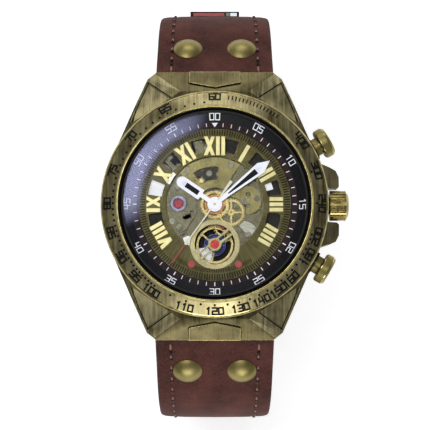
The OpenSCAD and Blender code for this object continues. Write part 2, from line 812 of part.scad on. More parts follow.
// ---- strap
module across(w) rotate([90, 0, 90]) translate([0, 0, -w / 2]) linear_extrude(w) children();
module taper()
rotate([90, 0, 0]) translate([0, 0, -60]) linear_extrude(120)
    polygon([[-strap_w / 2, 8], [-strap_w / 2, bar_z], [-strap_w_end / 2, strap_low - 3],
        [strap_w_end / 2, strap_low - 3], [strap_w / 2, bar_z], [strap_w / 2, 8]]);
module placed(s, half)
let (p = route(s, half)) translate([0, p.x, p.y]) rotate([p.z, 0, 0]) children();
module strap_half(len, half)
difference() {
    intersection() {
        union() {
            across(strap_w) polygon(outline(len, half));
            translate([0, bar_y, bar_z]) along_x([-strap_w / 2, strap_w / 2], strap_t / 2 - 0.03);
        }
        taper();
    }
    translate([0, bar_y, bar_z]) along_x([-20, 20], bar_r + 0.05);
    for (x = [-rivet_x, rivet_x]) placed(rivet_s, half)
        translate([x, 0, -5]) cylinder(r = rivet_shank_r + 0.03, h = 10);
}
module strap_12()
color(leather) difference() {
    union() {
        strap_half(upper_len, upper_side);
        translate([0, upper_end.x, upper_end.y])
            along_x([-strap_w_end / 2, strap_w_end / 2], strap_t_end / 2 + 0.2);
    }
    translate([0, upper_end.x, upper_end.y]) along_x([-15, 15], buckle_bar_r + fit);
    translate([-tongue_slot_w / 2, upper_end.x - 5, upper_end.y - 5]) cube([tongue_slot_w, 8, 10]);
}
tip_y = lower_len - strap_straight - bend_len - lower_side[0] - lower_side[1] * PI / 2
    - (crest_y - lower_side[1]);
module tip_corner_2d()
polygon([[3, -tip_y - 1], [3, -tip_y + 0.6], [9.2, -tip_y + 6], [9.7, -tip_y + 9],
    [14, -tip_y + 9], [14, -tip_y - 1]]);
module strap_6()
mirror([0, 1, 0]) color(leather) difference() {
    strap_half(lower_len, lower_side);
    for (s = [0, 1]) mirror([s, 0, 0]) slab([strap_low - 4, strap_low + 4]) tip_corner_2d();
    for (i = [0:6]) placed(lower_len - 13 - hole_pitch * i, lower_side)
        translate([0, 0, -5]) cylinder(r = 0.9, h = 10);
}
module rivets(len, half) {
    top = thickness(rivet_s, len) / 2;
    ball_r = (rivet_r * rivet_r + rivet_h * rivet_h) / (2 * rivet_h);
    for (x = [-rivet_x, rivet_x]) placed(rivet_s, half) translate([x, 0, 0]) {
        intersection() {
            translate([0, 0, top + 0.06 + rivet_h - ball_r]) sphere(ball_r);
            translate([0, 0, top + 0.06]) cylinder(r = rivet_r + 1, h = 5);
        }
        translate([0, 0, -top - 0.3]) cylinder(r = rivet_shank_r, h = 2 * top + 0.6);
        translate([0, 0, -top - 0.56]) cylinder(r = 2, h = 0.5);
    }
}
module strap_rivets_12() color(brass) rivets(upper_len, upper_side);
module strap_rivets_6() color(brass) mirror([0, 1, 0]) rivets(lower_len, lower_side);
module strap_tab()
color([0.1, 0.1, 0.1]) translate([-5.25, crest_y + thickness(strap_straight + bend_len, upper_len) / 2 + 0.04,
    bend_centre.y - 1]) cube([10.5, 1.3, 2]);

// ---- buckle, on a bar through the end of the upper strap half
frame_arm_x = [10.85, 12.6];
frame_reach = 9.5;
module at_buckle() translate([0, upper_end.x, upper_end.y]) children();
module buckle_bar() color(steel) at_buckle() along_x([-12.3, 12.3], buckle_bar_r);
module buckle_frame()
color(brass) at_buckle() difference() {
    union() {
        translate([0, -frame_reach, 0.5]) along_x([-frame_arm_x[1], frame_arm_x[1]], 1.1);
        for (s = [0, 1]) mirror([s, 0, 0]) {
            translate([frame_arm_x[0], -frame_reach, -0.5])
                cube([frame_arm_x[1] - frame_arm_x[0], frame_reach, 1.9]);
            along_x(frame_arm_x, 1.45);
        }
    }
    along_x([-15, 15], buckle_bar_r + 0.04);
}
module buckle_tongue()
color(brass) at_buckle() difference() {
    union() {
        along_x([-1, 1], 1.5);
        translate([-0.95, -frame_reach - 1.6, -1.75]) cube([1.9, frame_reach + 1.6, 1]);
    }
    along_x([-15, 15], buckle_bar_r + 0.04);
}
keeper_y = [3.1, 7.3];
module strap_keeper()
color(leather) at_buckle() translate([0, keeper_y[0], 0]) difference() {
    translate([-12.1, 0, -5.9]) cube([24.2, keeper_y[1] - keeper_y[0], 8.7]);
    translate([-10.9, -1, -4.7]) cube([21.8, 10, 6.4]);
}

case_middle();
lug_shields();
bezel();
crystal();
crystal_gasket();
flange_ring();
case_back();
back_window();
back_screws();
case_tubes();
spring_bars();
movement_ring();
main_plate();
dial();
hour_numerals();
dial_side_plate();
top_bridge();
centre_cock();
leaf_plate();
balance_bridge();
barrel_bridge();
train_bridge();
jewels();
jewel_settings();
bridge_screws();
rotor_post();
barrel_drum();
mainspring();
barrel_arbor();
ratchet_wheel();
centre_wheel();
cannon_pinion();
minute_hand();
third_wheel();
seconds_wheel();
seconds_hand();
seconds_cap();
escape_wheel();
pallet_fork();
balance_wheel();
hairspring();
minute_wheel();
hour_wheel();
hour_hand();
rotor();
rotor_weight();
crown();
winding_stem();
clutch_pinion();
pusher_upper();
pusher_lower();
strap_12();
strap_6();
strap_rivets_12();
strap_rivets_6();
strap_tab();
buckle_bar();
buckle_frame();
buckle_tongue();
strap_keeper();
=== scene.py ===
"""Skeleton wristwatch: finishes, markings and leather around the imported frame."""

import json
import math

import bmesh
import bpy
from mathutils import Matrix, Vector
from mathutils.bvhtree import BVHTree

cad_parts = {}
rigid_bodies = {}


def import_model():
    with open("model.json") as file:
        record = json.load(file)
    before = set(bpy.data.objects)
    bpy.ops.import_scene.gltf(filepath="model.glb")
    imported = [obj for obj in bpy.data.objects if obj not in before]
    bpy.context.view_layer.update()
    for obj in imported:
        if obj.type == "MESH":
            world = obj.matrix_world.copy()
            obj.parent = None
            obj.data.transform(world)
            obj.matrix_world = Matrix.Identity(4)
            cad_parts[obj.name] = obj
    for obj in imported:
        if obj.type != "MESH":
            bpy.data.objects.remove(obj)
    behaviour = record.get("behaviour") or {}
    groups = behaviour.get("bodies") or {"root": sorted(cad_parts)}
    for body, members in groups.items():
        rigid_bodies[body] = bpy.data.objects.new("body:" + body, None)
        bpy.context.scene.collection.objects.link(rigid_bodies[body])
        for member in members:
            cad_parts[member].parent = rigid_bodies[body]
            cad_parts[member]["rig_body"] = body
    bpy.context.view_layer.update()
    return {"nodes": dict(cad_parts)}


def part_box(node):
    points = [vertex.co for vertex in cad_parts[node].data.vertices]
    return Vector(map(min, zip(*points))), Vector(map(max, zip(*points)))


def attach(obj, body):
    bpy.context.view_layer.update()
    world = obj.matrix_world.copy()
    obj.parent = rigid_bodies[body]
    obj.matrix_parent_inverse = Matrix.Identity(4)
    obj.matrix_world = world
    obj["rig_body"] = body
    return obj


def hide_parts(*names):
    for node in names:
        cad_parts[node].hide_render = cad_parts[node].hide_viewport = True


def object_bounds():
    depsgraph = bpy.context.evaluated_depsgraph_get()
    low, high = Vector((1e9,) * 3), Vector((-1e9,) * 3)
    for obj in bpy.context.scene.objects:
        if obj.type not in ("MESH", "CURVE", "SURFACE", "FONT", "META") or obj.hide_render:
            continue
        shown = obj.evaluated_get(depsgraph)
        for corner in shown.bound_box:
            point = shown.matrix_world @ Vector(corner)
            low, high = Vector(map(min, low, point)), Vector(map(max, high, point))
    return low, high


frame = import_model()
NODES = frame["nodes"]
MM = 0.001

# ---------------------------------------------------------------- camera and stage
VIEW_DISTANCE = 0.33
VIEW_TILT = math.radians(4.5)
LENS_MM = 141.5
AIM_X = 0.05 * MM
AIM_Y = -2.4 * MM


def look_at(obj, target):
    aim = Vector(target) - obj.location
    obj.rotation_euler = aim.to_track_quat("-Z", "Y").to_euler()


def make_camera():
    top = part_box("bezel")[1][2]
    cam = bpy.data.objects.new("camera", bpy.data.cameras.new("camera"))
    cam.data.lens = LENS_MM
    cam.data.clip_start = 0.01
    target = Vector((AIM_X, AIM_Y, top))
    back = Vector((0, -math.sin(VIEW_TILT), math.cos(VIEW_TILT))) * VIEW_DISTANCE
    cam.location = target + back
    look_at(cam, target)
    bpy.context.scene.collection.objects.link(cam)
    bpy.context.scene.camera = cam


def soft_light(name, place, width, height, brightness, tint=(1, 1, 1)):
    """A white card of light, as bright as asked, that faces the watch."""
    light = bpy.data.lights.new(name, "AREA")
    light.shape = "RECTANGLE"
    light.size = width
    light.size_y = height
    light.energy = brightness * math.pi * width * height
    light.color = tint
    obj = bpy.data.objects.new(name, light)
    obj.location = place
    look_at(obj, (0, 0, 0))
    bpy.context.scene.collection.objects.link(obj)


def make_stage():
    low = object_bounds()[0][2]
    floor = box_mesh("floor", (-1.5, -1.5, low - 0.004), (1.5, 1.5, low))
    floor.data.materials.append(paper())
    soft_light("key_card", (-0.19, 0.12, 0.62), 0.2, 0.34, 4.2)
    soft_light("far_strip", (0, 0.55, 0.26), 0.4, 0.2, 3.6)
    soft_light("near_strip", (0, -0.55, 0.26), 0.4, 0.2, 5.6)
    soft_light("overhead", (-0.03, 0.1, 0.95), 0.28, 0.26, 3.4)
    world = bpy.data.worlds.new("studio")
    world.use_nodes = True
    sky = world.node_tree.nodes["Background"]
    sky.inputs["Color"].default_value = (0.88, 0.9, 0.93, 1)
    sky.inputs["Strength"].default_value = 0.22
    bpy.context.scene.world = world
    bpy.context.scene.view_settings.view_transform = "Standard"


# ---------------------------------------------------------------- material parts
def linear(r, g, b):
    """An 8-bit colour as the linear RGBA that the sockets take."""
    done = []
    for c in (r, g, b):
        c /= 255
        done.append(c / 12.92 if c <= 0.04045 else ((c + 0.055) / 1.055) ** 2.4)
    return (*done, 1)


class Finish:
    """A material being built, with short ways to add and join nodes."""

    def __init__(self, name):
        self.material = bpy.data.materials.new(name)
        self.material.use_nodes = True
        self.tree = self.material.node_tree
        self.shader = self.tree.nodes["Principled BSDF"]
        self.place = self.add("ShaderNodeTexCoord").outputs["Object"]

    def add(self, kind, **values):
        node = self.tree.nodes.new(kind)
        for key, value in values.items():
            setattr(node, key, value)
        return node

    def join(self, source, socket):
        self.tree.links.new(source, socket)

    def math(self, operation, a, b=None):
        node = self.add("ShaderNodeMath", operation=operation)
        for socket, value in zip(node.inputs, (a, b)):
            if isinstance(value, (int, float)):
                socket.default_value = value
            elif value is not None:
                self.join(value, socket)
        return node.outputs[0]

    def stretched(self, scale, turn=0.0):
        """Object coordinates times a scale for each axis, turned about Z."""
        node = self.add("ShaderNodeMapping")
        node.inputs["Scale"].default_value = scale
        node.inputs["Rotation"].default_value = (0, 0, turn)
        self.join(self.place, node.inputs["Vector"])
        return node.outputs[0]

    def polar(self, across, around, centre=(0, 0)):
        """Coordinates that follow circles round the Z axis: across counts with the radius."""
        move = self.add("ShaderNodeVectorMath", operation="SUBTRACT")
        move.inputs[1].default_value = (*centre, 0)
        self.join(self.place, move.inputs[0])
        flat = self.add("ShaderNodeVectorMath", operation="MULTIPLY")
        flat.inputs[1].default_value = (1, 1, 0)
        self.join(move.outputs[0], flat.inputs[0])
        length = self.add("ShaderNodeVectorMath", operation="LENGTH")
        self.join(flat.outputs[0], length.inputs[0])
        unit = self.add("ShaderNodeVectorMath", operation="NORMALIZE")
        self.join(flat.outputs[0], unit.inputs[0])
        spread = self.add("ShaderNodeVectorMath", operation="SCALE")
        spread.inputs["Scale"].default_value = around
        self.join(unit.outputs[0], spread.inputs[0])
        lift = self.add("ShaderNodeCombineXYZ")
        self.join(self.math("MULTIPLY", length.outputs["Value"], across), lift.inputs["Z"])
        total = self.add("ShaderNodeVectorMath", operation="ADD")
        self.join(spread.outputs[0], total.inputs[0])
        self.join(lift.outputs[0], total.inputs[1])
        return total.outputs[0]

    def edge_weight(self, start, full, least):
        """Rises from least to 1 between two distances from the Z axis."""
        flat = self.add("ShaderNodeVectorMath", operation="MULTIPLY")
        flat.inputs[1].default_value = (1, 1, 0)
        self.join(self.place, flat.inputs[0])
        length = self.add("ShaderNodeVectorMath", operation="LENGTH")
        self.join(flat.outputs[0], length.inputs[0])
        return self.between(length.outputs["Value"], start, full, least, 1)

    def side_weight(self, degrees, start, full, least):
        """Rises from least to 1 as the direction from the Z axis nears the given one."""
        unit = self.add("ShaderNodeVectorMath", operation="NORMALIZE")
        self.join(self.place, unit.inputs[0])
        towards = self.add("ShaderNodeVectorMath", operation="DOT_PRODUCT")
        a = math.radians(degrees)
        towards.inputs[1].default_value = (math.cos(a), math.sin(a), 0)
        self.join(unit.outputs[0], towards.inputs[0])
        return self.between(towards.outputs["Value"], start, full, least, 1)

    def noise(self, vector, scale=1.0, detail=3.0, rough=0.6):
        node = self.add("ShaderNodeTexNoise")
        node.inputs["Scale"].default_value = scale
        node.inputs["Detail"].default_value = detail
        node.inputs["Roughness"].default_value = rough
        self.join(vector, node.inputs["Vector"])
        return node.outputs["Fac"]

    def between(self, value, low, high, out_low, out_high):
        node = self.add("ShaderNodeMapRange")
        for name, number in (("From Min", low), ("From Max", high),
                             ("To Min", out_low), ("To Max", out_high)):
            node.inputs[name].default_value = number
        self.join(value, node.inputs["Value"])
        return node.outputs[0]

    def ramp(self, value, stops):
        node = self.add("ShaderNodeValToRGB")
        while len(node.color_ramp.elements) < len(stops):
            node.color_ramp.elements.new(0.5)
        for element, (position, colour) in zip(node.color_ramp.elements, stops):
            element.position = position
            element.color = colour
        self.join(value, node.inputs[0])
        return node.outputs["Color"]

    def bump(self, height, strength, depth):
        node = self.add("ShaderNodeBump")
        node.inputs["Strength"].default_value = strength
        node.inputs["Distance"].default_value = depth
        self.join(height, node.inputs["Height"])
        self.join(node.outputs[0], self.shader.inputs["Normal"])

    def set(self, **values):
        for key, value in values.items():
            self.shader.inputs[key.replace("_", " ")].default_value = value
        return self


def brushed(name, dark, light, grain, rough=(0.28, 0.5), strength=0.25, cloud=260,
            cloud_share=0.45, round_grain=None):
    """Metal with fine lines along one direction, or in circles, and slow cloudy patina."""
    f = Finish(name)
    where = f.polar(*round_grain) if round_grain else f.stretched(grain)
    lines = f.noise(where, detail=4, rough=0.65)
    patina = f.noise(f.place, scale=cloud, detail=3)
    both = f.math("ADD", f.math("MULTIPLY", lines, 1 - cloud_share),
                  f.math("MULTIPLY", patina, cloud_share))
    f.join(f.ramp(both, [(0.36, dark), (0.62, light)]), f.shader.inputs["Base Color"])
    f.join(f.between(lines, 0.3, 0.7, *rough), f.shader.inputs["Roughness"])
    f.bump(lines, strength, 0.02 * MM)
    return f.set(Metallic=1.0).material


def smooth_metal(name, dark, light, rough=(0.12, 0.25), cloud=900):
    """Polished metal with faint handling marks."""
    f = Finish(name)
    marks = f.noise(f.place, scale=cloud, detail=4)
    f.join(f.ramp(marks, [(0.35, dark), (0.65, light)]), f.shader.inputs["Base Color"])
    f.join(f.between(marks, 0.3, 0.7, *rough), f.shader.inputs["Roughness"])
    f.bump(marks, 0.05, 0.01 * MM)
    return f.set(Metallic=1.0).material


def lacquer(name, dark, light, rough=(0.3, 0.45), cloud=1500, coat=0.0, strength=0.08,
            painted_glow=0.0, shine=0.5):
    """Paint or enamel with a slightly uneven surface, and optional emission that paints a glow on
    it.
    """
    f = Finish(name)
    grain = f.noise(f.place, scale=cloud, detail=3)
    f.join(f.ramp(grain, [(0.3, dark), (0.7, light)]), f.shader.inputs["Base Color"])
    f.join(f.between(grain, 0.3, 0.7, *rough), f.shader.inputs["Roughness"])
    f.bump(grain, strength, 0.01 * MM)
    return f.set(Coat_Weight=coat, Coat_Roughness=0.08, Emission_Color=light,
                 Emission_Strength=painted_glow, Specular_IOR_Level=shine).material


def stone(name, dark, light):
    """Synthetic ruby: deep colour, a clear polished face, faint veins and a faint painted glow."""
    f = Finish(name)
    veins = f.noise(f.place, scale=1800, detail=2)
    f.join(f.ramp(veins, [(0.3, dark), (0.7, light)]), f.shader.inputs["Base Color"])
    f.join(f.between(veins, 0.3, 0.7, 0.2, 0.3), f.shader.inputs["Roughness"])
    return f.set(Specular_IOR_Level=0.3, Emission_Color=light, Emission_Strength=0.2).material


def clear_glass(name, tint, reflection_band=(14.2 * MM, 15.6 * MM, 0.05)):
    """Clear glass over the dial; its cool glossy reflection shows only through a fixed mask near
    the rim and on one side, a painted reflection.
    """
    f = Finish(name)
    clear = f.add("ShaderNodeBsdfTransparent")
    clear.inputs["Color"].default_value = (0.97, 0.975, 0.98, 1)
    gloss = f.add("ShaderNodeBsdfGlossy")
    gloss.inputs["Color"].default_value = tint
    smear = f.noise(f.place, scale=60, detail=2)
    f.join(f.between(smear, 0.3, 0.7, 0.27, 0.31), gloss.inputs["Roughness"])
    rim = f.add("ShaderNodeFresnel")
    rim.inputs["IOR"].default_value = 2.4
    mix = f.add("ShaderNodeMixShader")
    # painted reflection: the gloss is masked to a band near the rim and to the side towards 145
    # degrees from +X, wherever the lights are
    painted_reflection_mask = f.math("MULTIPLY", f.edge_weight(*reflection_band), f.side_weight(145, 0.52, 0.66, 0.03))
    f.join(f.math("MULTIPLY", rim.outputs[0], painted_reflection_mask), mix.inputs[0])
    f.join(clear.outputs[0], mix.inputs[1])
    f.join(gloss.outputs[0], mix.inputs[2])
    out = f.tree.nodes["Material Output"]
    f.join(mix.outputs[0], out.inputs["Surface"])
    f.tree.nodes.remove(f.shader)
    return f.material


def leather(name, dark, light, pores=2600.0):
    """Matt nubuck: soft clouds of colour, a fine nap and creased pores."""
    f = Finish(name)
    clouds = f.noise(f.place, scale=170, detail=5, rough=0.65)
    nap = f.noise(f.place, scale=2400, detail=3)
    cells = f.add("ShaderNodeTexVoronoi", feature="DISTANCE_TO_EDGE")
    cells.inputs["Scale"].default_value = pores
    f.join(f.place, cells.inputs["Vector"])
    crease = f.between(cells.outputs["Distance"], 0, 0.12, 0, 1)
    tone = f.math("ADD", f.math("MULTIPLY", clouds, 0.5), f.math("MULTIPLY", nap, 0.5))
    f.join(f.ramp(tone, [(0.34, dark), (0.66, light)]), f.shader.inputs["Base Color"])
    f.join(f.between(nap, 0.3, 0.7, 0.62, 0.85), f.shader.inputs["Roughness"])
    height = f.math("ADD", f.math("MULTIPLY", crease, 0.5), nap)
    f.bump(height, 0.45, 0.05 * MM)
    return f.set(Specular_IOR_Level=0.22).material


def thread(name, dark, light):
    """Waxed thread with a slanting twist."""
    f = Finish(name)
    twist = f.add("ShaderNodeTexWave", bands_direction="DIAGONAL")
    twist.inputs["Scale"].default_value = 2500
    twist.inputs["Distortion"].default_value = 1.5
    f.join(f.place, twist.inputs["Vector"])
    f.join(f.ramp(twist.outputs["Fac"], [(0.2, dark), (0.8, light)]),
           f.shader.inputs["Base Color"])
    f.bump(twist.outputs["Fac"], 0.4, 0.03 * MM)
    return f.set(Roughness=0.6).material


def circled_nickel(name, dark, light, spot=1.5 * MM):
    """Plate with overlapping polished circles in rows."""
    f = Finish(name)
    cells = f.add("ShaderNodeTexVoronoi", feature="F1")
    cells.inputs["Scale"].default_value = 1 / spot
    cells.inputs["Randomness"].default_value = 0.0
    f.join(f.place, cells.inputs["Vector"])
    rings = f.math("SINE", f.math("MULTIPLY", cells.outputs["Distance"], 34.0))
    fine = f.noise(f.place, scale=900, detail=3)
    tone = f.math("ADD", f.math("MULTIPLY", rings, 0.08), fine)
    f.join(f.ramp(tone, [(0.32, dark), (0.68, light)]), f.shader.inputs["Base Color"])
    f.join(f.between(tone, 0.3, 0.7, 0.24, 0.42), f.shader.inputs["Roughness"])
    f.bump(rings, 0.12, 0.01 * MM)
    return f.set(Metallic=1.0).material


def paper():
    f = Finish("studio_paper")
    fibre = f.noise(f.place, scale=400, detail=2)
    f.join(f.ramp(fibre, [(0.3, (0.9, 0.9, 0.9, 1)), (0.7, (0.94, 0.94, 0.94, 1))]),
           f.shader.inputs["Base Color"])
    return f.set(Roughness=0.9, Emission_Color=(1, 1, 1, 1), Emission_Strength=0.55).material


LENGTHWISE = (2300, 110, 110)
FINISHES = {
    "case": brushed("antique_case", linear(54, 49, 31), linear(112, 103, 72), LENGTHWISE),
    "bezel": brushed("antique_bezel", linear(88, 78, 48), linear(188, 177, 132), LENGTHWISE,
                     cloud=120, cloud_share=0.5),
    # lighter brass for bevels and edge strips: wear, together with a painted highlight along the
    # edges
    "edge": smooth_metal("worn_edge_and_highlight", linear(146, 134, 84), linear(196, 184, 126)),
    # black: the bezel's inner wall, and painted shade where it lines the case grooves
    "patina": lacquer("black_patina_and_shade", linear(12, 10, 7), linear(30, 26, 18), rough=(0.6, 0.8),
                      shine=0.15),
    "brass": smooth_metal("polished_antique", linear(124, 110, 60), linear(172, 156, 96),
                          rough=(0.2, 0.34)),
    "dial": brushed("dial_bronze", linear(56, 52, 32), linear(98, 92, 60), None,
                    rough=(0.3, 0.45), round_grain=(300, 60)),
    "ring": brushed("ring_bronze", linear(120, 112, 78), linear(160, 152, 116), None,
                    rough=(0.25, 0.4), round_grain=(900, 60)),
    "gilt": smooth_metal("gilt", linear(172, 162, 112), linear(206, 196, 146),
                         rough=(0.28, 0.4), cloud=400),
    "gilt_plate": brushed("gilt_plate", linear(84, 78, 50), linear(132, 124, 84),
                          (1800, 300, 1800), rough=(0.25, 0.42)),
    "wheel": brushed("wheel_brass", linear(112, 100, 62), linear(168, 152, 104), None,
                     rough=(0.2, 0.36), round_grain=(2600, 14)),
    "nickel": circled_nickel("circled_nickel", linear(68, 65, 50), linear(112, 108, 88)),
    "brushed_nickel": brushed("brushed_nickel", linear(118, 117, 104), linear(176, 175, 162),
                              (900, 3200, 900), rough=(0.25, 0.4)),
    "steel": smooth_metal("polished_steel", linear(104, 104, 102), linear(156, 156, 156)),
    "screw": smooth_metal("screw_steel", linear(58, 56, 48), linear(98, 96, 86)),
    "setting": smooth_metal("setting_steel", linear(66, 68, 78), linear(102, 104, 116)),
    "dark_steel": brushed("dark_steel", linear(40, 38, 34), linear(78, 75, 68), None,
                          round_grain=(3000, 20)),
    "blue_steel": smooth_metal("blued_steel", linear(44, 52, 92), linear(74, 84, 130)),
    "ruby": stone("ruby", linear(120, 14, 34), linear(180, 40, 66)),
    "jewel_red": stone("red_jewel", linear(176, 8, 12), linear(228, 26, 24)),
    # red, white, cream and lume below glow by emission: a painted glow, as they are no lamps
    "red": lacquer("red_enamel", linear(150, 8, 10), linear(196, 18, 16), coat=0.25, painted_glow=0.12),
    "black": lacquer("black_lacquer", linear(14, 14, 12), linear(28, 27, 24), rough=(0.5, 0.6),
                     strength=0.02, shine=0.2),
    "brown": lacquer("brown_lacquer", linear(30, 17, 11), linear(64, 36, 22), cloud=500,
                     rough=(0.5, 0.6), strength=0.02, shine=0.2),
    "white": lacquer("white_lacquer", linear(220, 220, 230), linear(240, 240, 246), coat=0.3,
                     painted_glow=0.42),
    "cream": lacquer("cream_lacquer", linear(214, 210, 188), linear(236, 232, 212), painted_glow=0.25),
    "lume": lacquer("lume", linear(206, 206, 224), linear(228, 228, 240), rough=(0.5, 0.6),
                    painted_glow=0.42),
    "green": lacquer("green_enamel", linear(18, 104, 60), linear(30, 140, 84), coat=0.8),
    "print": lacquer("black_print", linear(12, 11, 8), linear(26, 24, 18), rough=(0.6, 0.7),
                     shine=0.15),
    # dark sheets set in the slots and under the balance: painted shade of the depth below
    "depth": lacquer("painted_depth_shade", linear(22, 21, 16), linear(58, 55, 42), rough=(0.5, 0.7)),
    # pale patches with emission: painted light of a bright backdrop seen through the gaps
    "backdrop_light": lacquer("painted_backdrop_light", linear(228, 230, 232), linear(246, 247, 248), rough=(0.4, 0.6),
                    painted_glow=0.6),
    "copper": smooth_metal("copper", linear(96, 64, 38), linear(132, 96, 62)),
    "rubber": lacquer("rubber", linear(14, 14, 14), linear(26, 26, 26), rough=(0.6, 0.8)),
    # crystal: the cool tint is the colour of its painted reflection
    "glass": clear_glass("glass_painted_reflection", (0.3, 0.31, 0.48, 1)),
    "leather": leather("nubuck", linear(44, 17, 13), linear(108, 60, 50)),
    "lining": leather("lining_leather", linear(70, 46, 34), linear(112, 78, 58)),
    "thread": thread("brown_thread", linear(124, 82, 70), linear(176, 132, 116)),
    "satin": smooth_metal("satin_bronze", linear(134, 122, 72), linear(160, 148, 96),
                          rough=(0.4, 0.48), cloud=180),
    # lighter copy of the case bronze for the corner facets: painted highlight
    "facet": brushed("facet_bronze", linear(96, 88, 58), linear(182, 172, 130), LENGTHWISE),
    "edge_paint": lacquer("edge_paint", linear(20, 12, 10), linear(38, 24, 20),
                          rough=(0.6, 0.8)),
    # near-black: painted shade for the stitch holes, and for the walls the cutters leave in the
    # strap's holes and slot
    "hole": lacquer("stitch_hole_shade", linear(16, 9, 8), linear(26, 15, 12), rough=(0.8, 0.9)),
}


# ---------------------------------------------------------------- mesh parts
def add_object(name, mesh, *finishes):
    obj = bpy.data.objects.new(name, mesh)
    bpy.context.scene.collection.objects.link(obj)
    for finish in finishes:
        mesh.materials.append(FINISHES[finish])
    return obj


def smooth_by_angle(bm, degrees):
    for face in bm.faces:
        face.smooth = True
    for edge in bm.edges:
        edge.smooth = edge.calc_face_angle(0) < math.radians(degrees)


def mesh_object(name, verts, faces, *finishes, angle=30):
    bm = bmesh.new()
    corners = [bm.verts.new(v) for v in verts]
    for face in faces:
        bm.faces.new([corners[i] for i in face])
    bmesh.ops.recalc_face_normals(bm, faces=bm.faces)
    smooth_by_angle(bm, angle)
    mesh = bpy.data.meshes.new(name)
    bm.to_mesh(mesh)
    bm.free()
    return add_object(name, mesh, *finishes)


BOX_FACES = [(0, 2, 3, 1), (4, 5, 7, 6), (0, 1, 5, 4), (2, 6, 7, 3), (0, 4, 6, 2), (1, 3, 7, 5)]


def box_mesh(name, low, high, *finishes):
    verts = [(x, y, z) for z in (low[2], high[2]) for y in (low[1], high[1])
             for x in (low[0], high[0])]
    return mesh_object(name, verts, BOX_FACES, *finishes)


def lathe(name, profile, *finishes, steps=256, angle=30, centre=(0, 0)):
    """A closed ring: the profile's (radius, height) points, in mm, turned about Z."""
    count = len(profile)
    verts = []
    for i in range(steps):
        turn = 2 * math.pi * i / steps
        for r, z in profile:
            verts.append(((centre[0] + r * math.cos(turn)) * MM,
                          (centre[1] + r * math.sin(turn)) * MM, z * MM))
    faces = []
    for i in range(steps):
        near, far = i * count, (i + 1) % steps * count
        for k in range(count):
            nxt = (k + 1) % count
            faces.append((near + k, near + nxt, far + nxt, far + k))
    return mesh_object(name, verts, faces, *finishes, angle=angle)


def bevel_edges(obj, width, segments=2, angle=28, slot=None):
    mod = obj.modifiers.new("rounded_edges", "BEVEL")
    mod.width = width * MM
    mod.segments = segments
    mod.limit_method = "ANGLE"
    mod.angle_limit = math.radians(angle)
    mod.harden_normals = True
    if slot is not None:
        mod.material = slot


def put(obj, node, *also):
    """obj takes the place of these CAD nodes, on the first one's body."""
    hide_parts(node, *also)
    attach(obj, NODES[node]["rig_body"])
    return obj


def on_body_of(obj, node):
    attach(obj, NODES[node]["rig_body"])
    return obj


def finished(node, finish, edge=None, bevel=0.08, segments=2, angle=28):
    """A CAD node's own shape with flat faces joined up, rounded edges and a finish."""
    bm = bmesh.new()
    bm.from_mesh(NODES[node].data)
    bmesh.ops.remove_doubles(bm, verts=bm.verts, dist=2e-7)
    bmesh.ops.dissolve_limit(bm, angle_limit=math.radians(0.6), verts=bm.verts, edges=bm.edges)
    smooth_by_angle(bm, angle)
    for face in bm.faces:
        face.material_index = 0
    mesh = bpy.data.meshes.new(node + "_metal")
    bm.to_mesh(mesh)
    bm.free()
    obj = add_object(node + "_finished", mesh, finish, *([edge] if edge else []))
    if bevel:
        bevel_edges(obj, bevel, segments, angle, 1 if edge else None)
    return put(obj, node)


# ---------------------------------------------------------------- numerals and dots
DIGITS = {
    "0": [[(0, 0), (4, 0), (4, 6), (0, 6), (0, 0)]],
    "1": [[(2.2, 0), (2.2, 6), (1, 5)]],
    "2": [[(0, 6), (4, 6), (4, 3), (0, 3), (0, 0), (4, 0)]],
    "3": [[(0, 6), (4, 6), (4, 0), (0, 0)], [(1, 3), (4, 3)]],
    "4": [[(0, 6), (0, 2.6), (4, 2.6)], [(3.4, 6), (3.4, 0)]],
    "5": [[(4, 6), (0, 6), (0, 3.2), (4, 3.2), (4, 0), (0, 0)]],
    "6": [[(4, 6), (0, 6), (0, 0), (4, 0), (4, 3), (0, 3)]],
    "7": [[(0, 6), (4, 6), (2, 0)]],
    "8": [[(0, 0), (4, 0), (4, 6), (0, 6), (0, 0)], [(0, 3), (4, 3)]],
    "9": [[(4, 3), (0, 3), (0, 6), (4, 6), (4, 0), (0, 0)]],
}
DIGIT_PITCH = 5.6
DIGIT_STRETCH = 1.06
DIGIT_HEIGHT = 6


